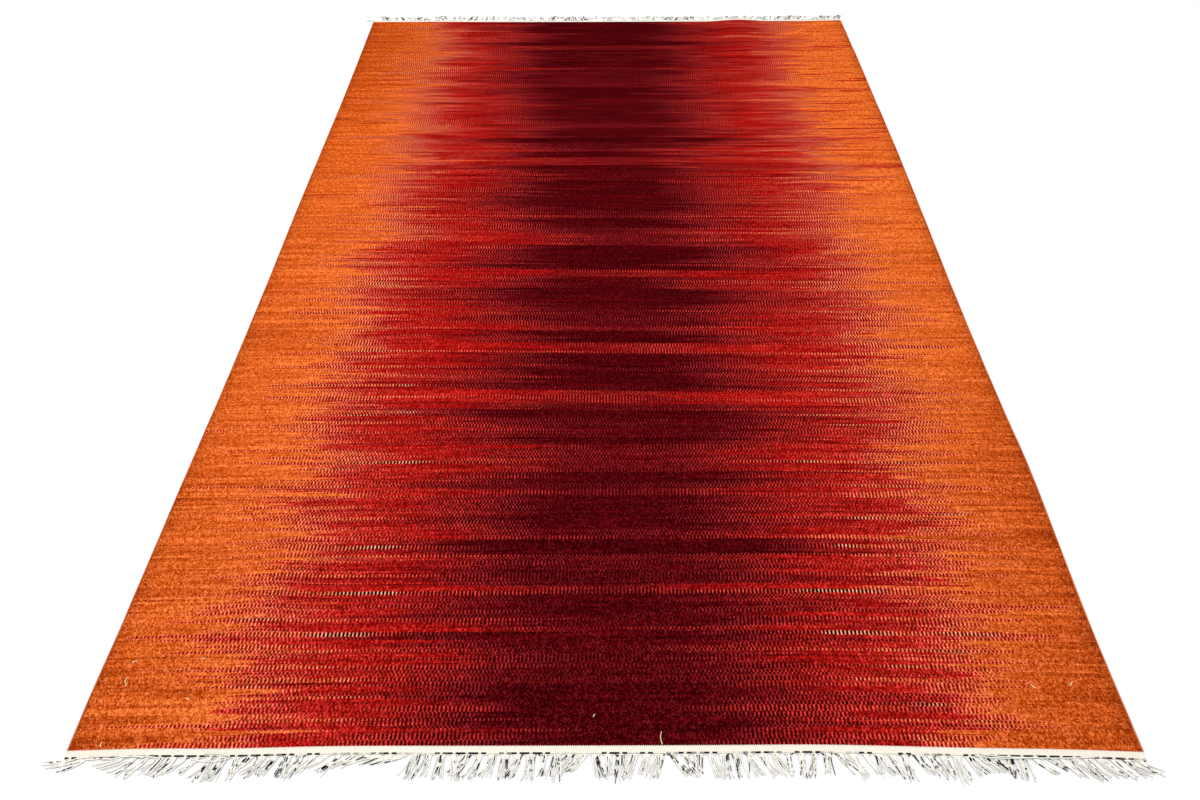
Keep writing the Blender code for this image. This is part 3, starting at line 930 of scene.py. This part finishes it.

# Painted shade: dark teeth lie in the shade of the light ones. Painted highlight: the light ones catch the
# light where the weave is crisp, unless they stand between nearly black ones.
in_red = between(tree, light_weft, *RED_LIGHT)
crisp = between(tree, towards_far, *CRISP_FROM, kind="LINEAR")
worn_shade, crisp_shade = (
    between(tree, in_red, 0.0, 1.0, *shares, "LINEAR") for shares in (TICK_SHADE, CRISP_TICK_SHADE)
)
tick_shade = between(tree, crisp, 0.0, 1.0, worn_shade, crisp_shade, "LINEAR")
tick_shade = calc(tree, "MULTIPLY_ADD", strong, STRONG_TICK_SHADE, tick_shade)
painted_tooth_shade = product(tree, clash, calc(tree, "SUBTRACT", 1.0, on_light), tick_shade)
painted_tooth_light = product(tree, light_tooth, between(tree, strong, 0.5, 0.0), crisp, CRISP_TICK_LIFT)

# The grain makes the wool lighter and darker, and the teeth's painted shade and highlight join it, in each
# primary colour by its own power.
grain_and_tooth_light = between(tree, shade, *GRAIN_USED, *GRAIN_LIGHT, "LINEAR")
grain_and_tooth_light = product(tree, grain_and_tooth_light, calc(tree, "ADD", calc(tree, "SUBTRACT", 1.0, painted_tooth_shade), painted_tooth_light))
red_power = between(tree, tone, *RED_POWER_AT, *SHADING_POWERS[:2], "LINEAR")
powers = (red_power, *SHADING_POWERS[2:])
shaded_red, shaded_green, shaded_blue = (calc(tree, "POWER", grain_and_tooth_light, power) for power in powers)
shading_tint = add_node(tree, "ShaderNodeCombineXYZ", n0=shaded_red, n1=shaded_green, n2=shaded_blue)
colour = mixed(tree, 1.0, colour, shading_tint.outputs[0], "MULTIPLY")
tree.links.new(colour, shader.inputs["Base Color"])
set_relief(tree, shader, WOOL_RELIEF, grain.outputs["Height"])
wool.data.materials.append(wool_dye)
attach(wool, "root")
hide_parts("wool_field")

# ---------------------------------------------------------------- side cords
# Each side is bound by overcasting: a pale terracotta wool yarn is wound over the outermost warps,
# turn beside turn, and makes a round cord along the whole length of the wool.
CORD_RADIUS = CORD_DIAMETER / 2
CORD_TURN = 0.0032  # from one turn of the yarn to the next
CORD_RINGS = 3750
CORD_SIDES = 8
CORD_GROOVE = 0.16  # depth of the groove between two turns, as a share of the radius
CORD_DYE = (*seen(198, 84, 38), 1.0)
CORD_FADED = (*seen(226, 124, 70), 1.0)
# painted shade in the groove between two turns
CORD_GROOVE_SHADE = (*seen(104, 34, 18), 1.0)
CORD_FADING = (0.35, 0.65)  # values of a noise from the dye to the faded yarn
CORD_FADE_SCALE = 9.0  # its cells in a metre
GROOVE_SHADE = (0.75, 0.10)  # heights of the yarn's round at which the painted shade of the groove begins and ends
CORD_FIBRES = 900.0  # in a metre
CORD_FUZZ = (0.75, 1.25)  # light of the deepest and of the highest fibres
CORD_RELIEF = (0.5, 0.0003)
FIBRE_USED = (0.3, 0.7)  # the part of the fibres' noise that most of it lies in


def yarn_tubes(paths, radius, sides):
    """Closed tubes along paths (yarn, ring, xyz): a ring's points are its centre plus the radius
    times the cosine of their angle along the path's level normal and the sine along its raised
    one. radius has a value for each yarn, ring and side, or one for several of them. The first
    side is on top. Gives the points, the faces and each point's angle."""
    tangent = np.gradient(paths, axis=1)
    level = np.cross(tangent, [0.0, 0.0, 1.0])
    level /= np.linalg.norm(level, axis=2, keepdims=True)
    raised = np.cross(level, tangent)
    raised /= np.linalg.norm(raised, axis=2, keepdims=True)
    angle = math.pi / 2 + 2 * math.pi * np.arange(sides) / sides
    offset = np.cos(angle)[:, None] * level[:, :, None] + np.sin(angle)[:, None] * raised[:, :, None]
    points = paths[:, :, None] + np.broadcast_to(radius, offset.shape[:3])[..., None] * offset
    number = np.arange(offset[..., 0].size).reshape(offset.shape[:3])
    beside = np.roll(number, -1, axis=2)
    walls = np.stack([number[:, :-1], number[:, 1:], beside[:, 1:], beside[:, :-1]], axis=-1)
    faces = walls.reshape(-1, 4).tolist() + number[:, 0].tolist() + number[:, -1, ::-1].tolist()
    return points.reshape(-1, 3), faces, np.broadcast_to(angle, offset.shape[:3]).ravel()


def fibre_fuzz_group():
    """Shader group for the fibres of a thick yarn: a noise at Place with Fineness cells in a metre,
    and the same noise eased so that FIBRE_USED becomes 0 to 1."""
    group = bpy.data.node_groups.new("fibre_fuzz", "ShaderNodeTree")
    group.interface.new_socket("Place", in_out="INPUT", socket_type="NodeSocketVector")
    group.interface.new_socket("Fineness", in_out="INPUT", socket_type="NodeSocketFloat")
    for name in ("Fibre", "Eased"):
        group.interface.new_socket(name, in_out="OUTPUT", socket_type="NodeSocketFloat")
    given = group.nodes.new("NodeGroupInput").outputs
    fibre = add_node(
        group,
        "ShaderNodeTexNoise",
        Vector=given["Place"],
        Scale=given["Fineness"],
        Detail=2.0,
        Roughness=0.6,
    ).outputs[0]
    out = group.nodes.new("NodeGroupOutput")
    group.links.new(fibre, out.inputs["Fibre"])
    group.links.new(between(group, fibre, *FIBRE_USED), out.inputs["Eased"])
    return group


FIBRE_FUZZ = fibre_fuzz_group()


def fibres(tree, fineness):
    """An object's own place and the outputs of the fibres there."""
    spot = add_node(tree, "ShaderNodeTexCoord").outputs["Object"]
    settings = {"node_tree": FIBRE_FUZZ}
    return spot, add_node(tree, "ShaderNodeGroup", settings, Place=spot, Fineness=fineness).outputs


cord_wool, tree, shader = new_material("cord_wool", 0.95)
spot, fibre = fibres(tree, CORD_FIBRES)
faded = add_node(tree, "ShaderNodeTexNoise", Vector=spot, Scale=CORD_FADE_SCALE, Detail=1.0).outputs[0]
wrap = mixed(tree, between(tree, faded, *CORD_FADING), CORD_DYE, CORD_FADED)
# Painted shade darkens the groove between two turns of the yarn.
wrap = mixed(tree, between(tree, attribute(tree, "ridge"), *GROOVE_SHADE), wrap, CORD_GROOVE_SHADE)
fuzz = between(tree, fibre["Fibre"], *FIBRE_USED, *CORD_FUZZ, "LINEAR")
fuzz_grey = add_node(tree, "ShaderNodeCombineXYZ", n0=fuzz, n1=fuzz, n2=fuzz)
tree.links.new(mixed(tree, 1.0, wrap, fuzz_grey.outputs[0], "MULTIPLY"), shader.inputs["Base Color"])
set_relief(tree, shader, CORD_RELIEF, fibre["Fibre"])

for name, side in (("left", -1), ("right", 1)):
    cord_y = np.linspace(-HALF_LENGTH, HALF_LENGTH, CORD_RINGS)
    middle = lie(side * (HALF_WIDTH - CORD_RADIUS) + 0 * cord_y, cord_y, CORD_RADIUS)
    # The yarn swells by the absolute cosine of a phase that winds round the cord as it goes along.
    phase = math.pi * (cord_y[:, None] / CORD_TURN + side * np.arange(CORD_SIDES) / CORD_SIDES)
    swell = abs(np.cos(phase))
    radius = CORD_RADIUS * (1 - CORD_GROOVE * (1 - swell))
    cord = new_mesh(f"overcast_cord_{name}", *yarn_tubes(middle[None], radius[None], CORD_SIDES)[:2])
    set_attribute(cord, "ridge", swell.ravel())
    cord.data.materials.append(cord_wool)
    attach(cord, "root")
    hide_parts(f"side_cord_{name}")

# ---------------------------------------------------------------- cotton webs
# Each end is closed by a narrow plain web of undyed cotton, woven on the same warps. Its first
# picks are beaten over the wool's last ones, between the ribs, so that their border is scalloped.
WEB_DEPTH = 0.0145
SCALLOP = 0.0018  # how far a tip reaches over the wool
SCALLOP_COLUMNS = 4  # of the mesh, in one warp
# Height of the web's top at places outwards from the wool's end.
WebRow = namedtuple("WebRow", "out height")
WEB_ROWS = (
    WebRow(0.0016, 0.00345),
    WebRow(0.0026, 0.00330),
    WebRow(0.0038, 0.00265),
    WebRow(0.0070, 0.00240),
    WebRow(0.0100, 0.00240),
    WebRow(0.0130, 0.00235),
    WebRow(WEB_DEPTH, 0.00180),
)
WEB_INSET = 0.002  # of its ends from the rug's sides
WEB_PICK = 0.0012
WEB_COTTON = (*seen(238, 230, 214), 1.0)
WEB_COTTON_LIT = (*seen(255, 251, 240), 1.0)
# painted shadow at the last pick's edge, between the tassels
WEB_EDGE_SHADOW = (*seen(38, 32, 28), 1.0)
WEB_LIGHT_USED = (0.3, 1.1)  # shades of the grain from plain cotton to lit cotton
WEB_RELIEF = (0.5, 0.0004)
LAST_PICK = (0.0034, 0.0022)  # where the last pick's painted shadow first and fully shows, before the web's outer edge
OFF_KNOT = (0.06, 0.16)  # of a tassel's width, where the painted shadow at its edge begins and is darkest
EDGE_SHADOW_CHANCE = (0.15, 0.55)  # a tassel's own chance, from 0 to 1, at which its edge has no painted shadow and a full one
TASSELS = 84
TASSEL_PITCH = 2 * HALF_WIDTH / TASSELS


def lie_as_web(x, y, height):
    """As lie, for the web: on top, the innermost row reaches inwards by the absolute sine of the
    place in the warp, and height chooses between the underside, 0, and the top, 1."""
    out = abs(y) - HALF_LENGTH - GAP
    innermost = np.clip((WEB_ROWS[1].out - out) / (WEB_ROWS[1].out - WEB_ROWS[0].out), 0, 1)
    tip = innermost * abs(np.sin(math.pi * x / WARP_PITCH))
    top = np.interp(out, [row.out for row in WEB_ROWS], [row.height for row in WEB_ROWS])
    inwards = np.sign(y) * height * (SCALLOP * tip)
    return lie(x, y - inwards, 0.0) + np.stack([0 * x, 0 * x, height * top], axis=-1)


web_cotton, tree, shader = new_material("web_cotton", 0.95)
place, grain = woven_place(tree, WEB_PICK)
cotton = between(tree, grain.outputs["Shade"], *WEB_LIGHT_USED, kind="LINEAR")
cotton = mixed(tree, cotton, WEB_COTTON, WEB_COTTON_LIT)
# Between the tassels, by some of them more than by others, a painted shadow darkens the last pick's edge,
# for the shade in the gap there.
outwards = calc(tree, "SUBTRACT", calc(tree, "ABSOLUTE", place[1]), HALF_LENGTH + GAP)
tassels = calc(tree, "DIVIDE", calc(tree, "ADD", place[0], HALF_WIDTH), TASSEL_PITCH)
tassel = add_node(
    tree, "ShaderNodeTexWhiteNoise", {"noise_dimensions": "1D"}, W=calc(tree, "FLOOR", tassels)
).outputs["Value"]
from_knot = calc(tree, "PINGPONG", calc(tree, "SUBTRACT", tassels, 0.5), 0.5)
edge_shadow = product(
    tree,
    between(tree, outwards, *(WEB_DEPTH - depth for depth in LAST_PICK)),
    between(tree, from_knot, *OFF_KNOT),
    between(tree, tassel, *EDGE_SHADOW_CHANCE),
)
tree.links.new(mixed(tree, edge_shadow, cotton, WEB_EDGE_SHADOW), shader.inputs["Base Color"])
set_relief(tree, shader, WEB_RELIEF, grain.outputs["Height"])

WEB_HALF = HALF_WIDTH - WEB_INSET
web_x = np.linspace(-WEB_HALF, WEB_HALF, round(SCALLOP_COLUMNS * 2 * WEB_HALF / WARP_PITCH) + 1)
for name, end in (("near", -1), ("far", 1)):
    web_y = np.sort([end * (HALF_LENGTH + GAP + row.out) for row in WEB_ROWS])
    web, web_flat = closed_cloth(f"cotton_web_{name}", web_x, web_y, lie_as_web, 1.0, UNDER_STEP)
    set_flat_map(web, web_flat)
    web.data.materials.append(web_cotton)
    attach(web, "root")
    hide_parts(f"end_band_{name}")

# ---------------------------------------------------------------- knotted fringe
# Past the web the cotton warps are drawn together, six by six, and knotted against its edge. Their
# free ends lie on the floor, as they fell when the rug was unrolled.
KNOT_ROW_DEPTH = 0.0035
WARPS_IN_TASSEL = 6
STRANDS_IN_TASSEL = 9  # some warps have opened into their plies
STRAND_RADIUS = 0.00095
STRAND_TIP = 0.7  # radius at its tip, as a share
STRAND_RINGS = 11  # of the free end
STRAND_SIDES = 6
STRAND_LENGTH = (0.035, 0.045)
STRAND_LENGTH_SPREAD = 0.0025
BUNCH_SHARE = 0.45  # of the tassels, those that don't lie as their neighbour on the left does
BUNCH_LEAN_SPREAD = 17.0  # degrees, as a standard deviation
TASSEL_LEAN_SPREAD = 6.0
STRAND_LEAN_SPREAD = 7.0
ROOT_SPACING = (0.0008, 0.0021)  # between neighbouring strands at the knot
FAN = (-0.0010, 0.0015)  # how much further apart neighbouring tips are
WAVE = 0.0014  # standard deviation of a strand's waves at its tip
WAVE_HALVES = (0.8, 2.2)  # half waves along a strand, fewest and most
LEAN_POWER = 1.4  # of the share of its length, with which a strand goes sideways
DRAWN_IN = 0.93  # where the warps leave the web, of their spacing in it
WEB_EXIT = 0.0008  # past the web's edge
KNOT_PLACE = 0.0015  # past the web's edge
ROOT_PLACE = 0.6  # of the knot row's depth, where the free strands begin
IN_KNOT = 0.65  # of the way from the web's edge to there, where a strand is bent
ROOT_LIFT = 0.0006  # of the free strand's beginning
DROP_SHARE = 0.6  # of its length, in which a strand comes down to the floor
DROP_POWER = 1.5
KNOT_BLUNT = 0.04  # of a knot's ends, added to its squared radius
KNOT_RINGS = 9
KNOT_SIDES = 6
KNOT_RADIUS = 0.0013
SHADE_LINE_FROM = 0.70  # of the strands, those above this share carry a painted shade line in places, for the shade between strands
SHADE_LINE_EDGE = 0.01  # half the width of the change from one to the other
FAR_SHADE_LINES = 0.5  # power of the shares of whole tassels at the far end, where many carry the painted shade line
SHADE_BREAK_SCALE = 95.0  # cells in a metre of the noise that breaks the painted shade line into pieces
SHADE_BREAKS = (0.46, 0.52)  # its values from no painted shade line to a full one
# painted shade of the strands' lower flanks and of their shade lines
STRAND_SHADE = (*seen(26, 22, 20), 1.0)
SHADE_LINE_REACH = 0.60  # of a shade-lined strand's round, by which its painted shade reaches higher
FLANK_DARK = (0.46, 0.60)  # how far down a strand's round its painted shade first and fully lies
STRAND_FIBRES = 1100.0  # in a metre
STRAND_RELIEF = (0.4, 0.0003)
STRAND_COTTON = (*seen(246, 241, 227), 1.0)
STRAND_COTTON_LIT = (*seen(255, 253, 246), 1.0)
FRINGE_SEED = 21

# Direction in which the fringe lies, in degrees from straight out of the rug towards +X.
Lean = namedtuple("Lean", "x near far")
LEANS = (
    Lean(-1.00, -38.0, -40.0),
    Lean(-0.84, -48.0, -14.0),
    Lean(-0.66, -42.0, -6.0),
    Lean(-0.52, -36.0, -12.0),
    Lean(-0.34, -28.0, 4.0),
    Lean(-0.19, -20.0, 8.0),
    Lean(-0.04, -2.0, -4.0),
    Lean(0.15, 13.0, 0.0),
    Lean(0.37, 16.0, 9.0),
    Lean(0.60, 32.0, 2.0),
    Lean(0.83, 38.0, 12.0),
    Lean(1.00, 50.0, 32.0),
)


def at_web_edge(x, out, end):
    """Where a place out metres past the web's edge lies, with the cloth's lift as its Z."""
    return lie(x, end * (HALF_LENGTH + 2 * GAP + WEB_DEPTH + out) + 0 * x, 0.0)


def strand_paths(end, rng):
    """Centre lines of all warp ends of one fringe, as (strand, ring, xyz), the knots' places and
    the spacing of the strands in each. From its place in the web's edge a strand runs into the
    knot, and from there a share s of its length further: straight out by s times the cosine of its
    lean, sideways by s to LEAN_POWER times the sine, plus a fan that is even over the tassel and a
    sine wave that grows with s. Its height falls with 1 - s / DROP_SHARE to DROP_POWER, and where
    strands cross, half a sine is added."""
    shape = (TASSELS, STRANDS_IN_TASSEL, 1)
    warp = (np.arange(STRANDS_IN_TASSEL) - (STRANDS_IN_TASSEL - 1) / 2)[None, :, None]
    knot_x = -HALF_WIDTH + (np.arange(TASSELS)[:, None, None] + 0.5) * TASSEL_PITCH
    table = np.array([lean.near if end < 0 else lean.far for lean in LEANS])
    lean = through(np.array([lean.x for lean in LEANS]), table, knot_x)
    bunch = np.cumsum(rng.random(TASSELS) < BUNCH_SHARE)
    lean = lean + rng.normal(0, BUNCH_LEAN_SPREAD, TASSELS + 1)[bunch][:, None, None]
    lean = lean + rng.normal(0, TASSEL_LEAN_SPREAD, (TASSELS, 1, 1))
    lean = lean + rng.normal(0, STRAND_LEAN_SPREAD, shape)
    lean = np.radians(lean)
    length = rng.uniform(*STRAND_LENGTH, (TASSELS, 1, 1)) + rng.normal(0, STRAND_LENGTH_SPREAD, shape)
    spacing = rng.uniform(*ROOT_SPACING, (TASSELS, 1, 1))
    fan = rng.uniform(*FAN, (TASSELS, 1, 1))
    s = np.linspace(0, 1, STRAND_RINGS)[None, None, :]
    wave = rng.normal(0, WAVE, shape) * np.sin(math.pi * rng.uniform(*WAVE_HALVES, shape) * s) * s
    root = at_web_edge((knot_x + warp * spacing)[..., 0], ROOT_PLACE * KNOT_ROW_DEPTH, end)
    x = root[..., :1] + length * np.sin(lean) * s**LEAN_POWER + warp * fan * s + wave
    y = root[..., 1:2] + end * length * np.cos(lean) * s
    crossing = rng.uniform(0, 1, shape) * STRAND_RADIUS * np.sin(math.pi * s)
    drop = np.clip(1 - s / DROP_SHARE, 0, 1) ** DROP_POWER
    z = STRAND_RADIUS + crossing + (root[..., 2:] + ROOT_LIFT) * drop
    free = np.stack([x, y, z + 0 * x], axis=-1)
    from_web = warp * WARP_PITCH * WARPS_IN_TASSEL / STRANDS_IN_TASSEL * DRAWN_IN
    drawn = at_web_edge((knot_x + from_web)[..., 0], WEB_EXIT, end)[:, :, None]
    drawn[..., 2] += STRAND_RADIUS
    bend = (1 - IN_KNOT) * drawn + IN_KNOT * free[:, :, :1]
    paths = np.concatenate([drawn, bend, free], axis=2).reshape(-1, STRAND_RINGS + 2, 3)
    return paths, at_web_edge(knot_x[:, 0, 0], KNOT_PLACE, end), spacing[:, 0, 0]


def flank(angle):
    """How far down a yarn's round each point lies, from its angle: 0 on top and 1 below."""
    return (1 - np.sin(angle)) / 2


warp_cotton, tree, shader = new_material("warp_cotton", 0.95)
spot, fibre = fibres(tree, STRAND_FIBRES)
cotton = mixed(tree, fibre["Eased"], STRAND_COTTON, STRAND_COTTON_LIT)
# Painted shade: each strand's lower flanks, and on some strands a line higher up, broken into pieces, take a
# dark colour for the shade under and between the strands.
shade_break = add_node(tree, "ShaderNodeTexNoise", Vector=spot, Scale=SHADE_BREAK_SCALE, Detail=1.0).outputs[0]
shade_lined = between(tree, attribute(tree, "shade_line"), SHADE_LINE_FROM - SHADE_LINE_EDGE, SHADE_LINE_FROM + SHADE_LINE_EDGE)
shade_lined = product(tree, shade_lined, between(tree, shade_break, *SHADE_BREAKS))
shadowed = calc(tree, "MULTIPLY_ADD", shade_lined, SHADE_LINE_REACH, attribute(tree, "flank"))
shadowed = between(tree, shadowed, *FLANK_DARK)
tree.links.new(mixed(tree, shadowed, cotton, STRAND_SHADE), shader.inputs["Base Color"])
set_relief(tree, shader, STRAND_RELIEF, fibre["Fibre"])

for name, end in (("near", -1), ("far", 1)):
    rng = np.random.default_rng(FRINGE_SEED + end)
    paths, knots, spacing = strand_paths(end, rng)
    s = np.linspace(0, 1, paths.shape[1])
    tassel_shade_lines = np.repeat(rng.random((TASSELS, 1, 1)), STRANDS_IN_TASSEL, axis=0)
    strand_shade_lines = rng.random((len(paths), 1, 1))
    if end > 0:
        strand_shade_lines = np.maximum(strand_shade_lines, tassel_shade_lines**FAR_SHADE_LINES)
    radius = STRAND_RADIUS * (1 - (1 - STRAND_TIP) * s)[None, :, None]
    points, faces, angle = yarn_tubes(paths, radius, STRAND_SIDES)
    # A knot is a short fat yarn across the tassel, thin at both ends.
    across = np.linspace(-1, 1, KNOT_RINGS)
    knot_paths = np.repeat(knots[:, None], KNOT_RINGS, axis=1)
    knot_paths[..., 0] += across * (KNOT_RADIUS + STRANDS_IN_TASSEL / 2 * spacing[:, None])
    knot_paths[..., 2] += KNOT_RADIUS
    knot_radius = (KNOT_RADIUS * np.sqrt(1 + KNOT_BLUNT - across**2))[None, :, None]
    knot_points, knot_faces, knot_angle = yarn_tubes(knot_paths, knot_radius, KNOT_SIDES)
    faces = faces + [[corner + len(points) for corner in face] for face in knot_faces]
    fringe = new_mesh(f"cotton_fringe_{name}", np.concatenate([points, knot_points]), faces)
    set_attribute(fringe, "flank", flank(np.concatenate([angle, knot_angle])))
    shade_lines_here = np.repeat(strand_shade_lines.ravel(), paths.shape[1] * STRAND_SIDES)
    set_attribute(fringe, "shade_line", np.concatenate([shade_lines_here, np.zeros(len(knot_points))]))
    fringe.data.materials.append(warp_cotton)
    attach(fringe, "root")
    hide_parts(f"fringe_{name}")

# A few warps that slipped out of their knots lie over the web's edge, as parts of ellipses.
Stray = namedtuple("Stray", "x y reach_x reach_y start turn")  # start and turn in degrees from +X
STRAYS = (
    Stray(-0.7265, -1.5165, 0.036, 0.0072, 110, -290),
    Stray(0.8050, -1.5100, 0.109, 0.0070, 180, 175),
    Stray(0.7450, -1.5125, 0.060, 0.0060, 190, 150),
    Stray(-0.9150, -1.5190, 0.070, 0.0060, 20, 140),
    Stray(-0.8650, -1.5220, 0.050, 0.0080, 30, 120),
)
STRAY_RINGS = 24
STRAY_HEIGHT = 0.0036  # of its middle over the floor

s = np.linspace(0, 1, STRAY_RINGS)[None, :]
x, y, reach_x, reach_y, start, turn = (np.array(column)[:, None] for column in zip(*STRAYS))
angle = np.radians(start + turn * s)
stray_paths = lie(x + reach_x * np.cos(angle), y + reach_y * np.sin(angle), STRAY_HEIGHT)
points, faces, angle = yarn_tubes(stray_paths, STRAND_RADIUS, STRAND_SIDES)
strays = new_mesh("stray_warps", points, faces)
set_attribute(strays, "flank", flank(angle))
set_attribute(strays, "shade_line", 0 * angle)
strays.data.materials.append(warp_cotton)
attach(strays, "root")

# ---------------------------------------------------------------- loose yarn ends
# Here and there the end of an undyed cotton yarn stands out of the weave, where it was worked in or
# has come loose. Each lies in a slight bow on the wool and rises towards its tip.
LooseEnd = namedtuple("LooseEnd", "x y length turn rise")  # turn in degrees from +X, rise in metres
LOOSE_ENDS = (
    LooseEnd(0.1132, -1.4990, 0.022, 92, 0.0060),
    LooseEnd(-0.9440, -1.3321, 0.010, 10, 0.0020),
    LooseEnd(-0.9409, -1.3730, 0.010, 82, 0.0025),
    LooseEnd(-0.9378, -1.3800, 0.007, 60, 0.0020),
    LooseEnd(-0.8104, -1.4063, 0.011, -20, 0.0020),
    LooseEnd(-0.9389, -1.4957, 0.008, 80, 0.0030),
    LooseEnd(-0.8060, -1.3276, 0.008, 15, 0.0015),
    LooseEnd(0.8427, -1.3853, 0.010, 135, 0.0015),
    LooseEnd(0.9122, -1.3792, 0.009, 55, 0.0015),
    LooseEnd(-0.0158, -1.4476, 0.006, 60, 0.0015),
)
LOOSE_RADIUS = 0.0010
LOOSE_RINGS = 8
LOOSE_CURL = 0.12  # sideways bow, as a share of the length
LOOSE_RISE_POWER = 0.7
LOOSE_TIP = 0.3  # by which share it gets thinner
LOOSE_COTTON = (*seen(246, 214, 150), 1.0)
LOOSE_COTTON_LIT = (*seen(255, 244, 204), 1.0)

loose_cotton, tree, shader = new_material("loose_cotton", 0.95)
spot, fibre = fibres(tree, STRAND_FIBRES)
cream = mixed(tree, fibre["Eased"], LOOSE_COTTON, LOOSE_COTTON_LIT)
tree.links.new(cream, shader.inputs["Base Color"])
set_relief(tree, shader, STRAND_RELIEF, fibre["Fibre"])

s = np.linspace(0, 1, LOOSE_RINGS)[None, :]
x, y, length, turn, rise = (np.array(column)[:, None] for column in zip(*LOOSE_ENDS))
turn = np.radians(turn)
bow = LOOSE_CURL * length * np.sin(math.pi * s)
loose_x = x + length * s * np.cos(turn) - bow * np.sin(turn)
loose_y = y + length * s * np.sin(turn) + bow * np.cos(turn)
loose_paths = lie(loose_x, loose_y, WOOL_THICKNESS + rise * s**LOOSE_RISE_POWER)
loose_radius = (LOOSE_RADIUS * (1 - LOOSE_TIP * s))[..., None]
loose = new_mesh("loose_yarn_ends", *yarn_tubes(loose_paths, loose_radius, STRAND_SIDES)[:2])
loose.data.materials.append(loose_cotton)
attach(loose, "root")
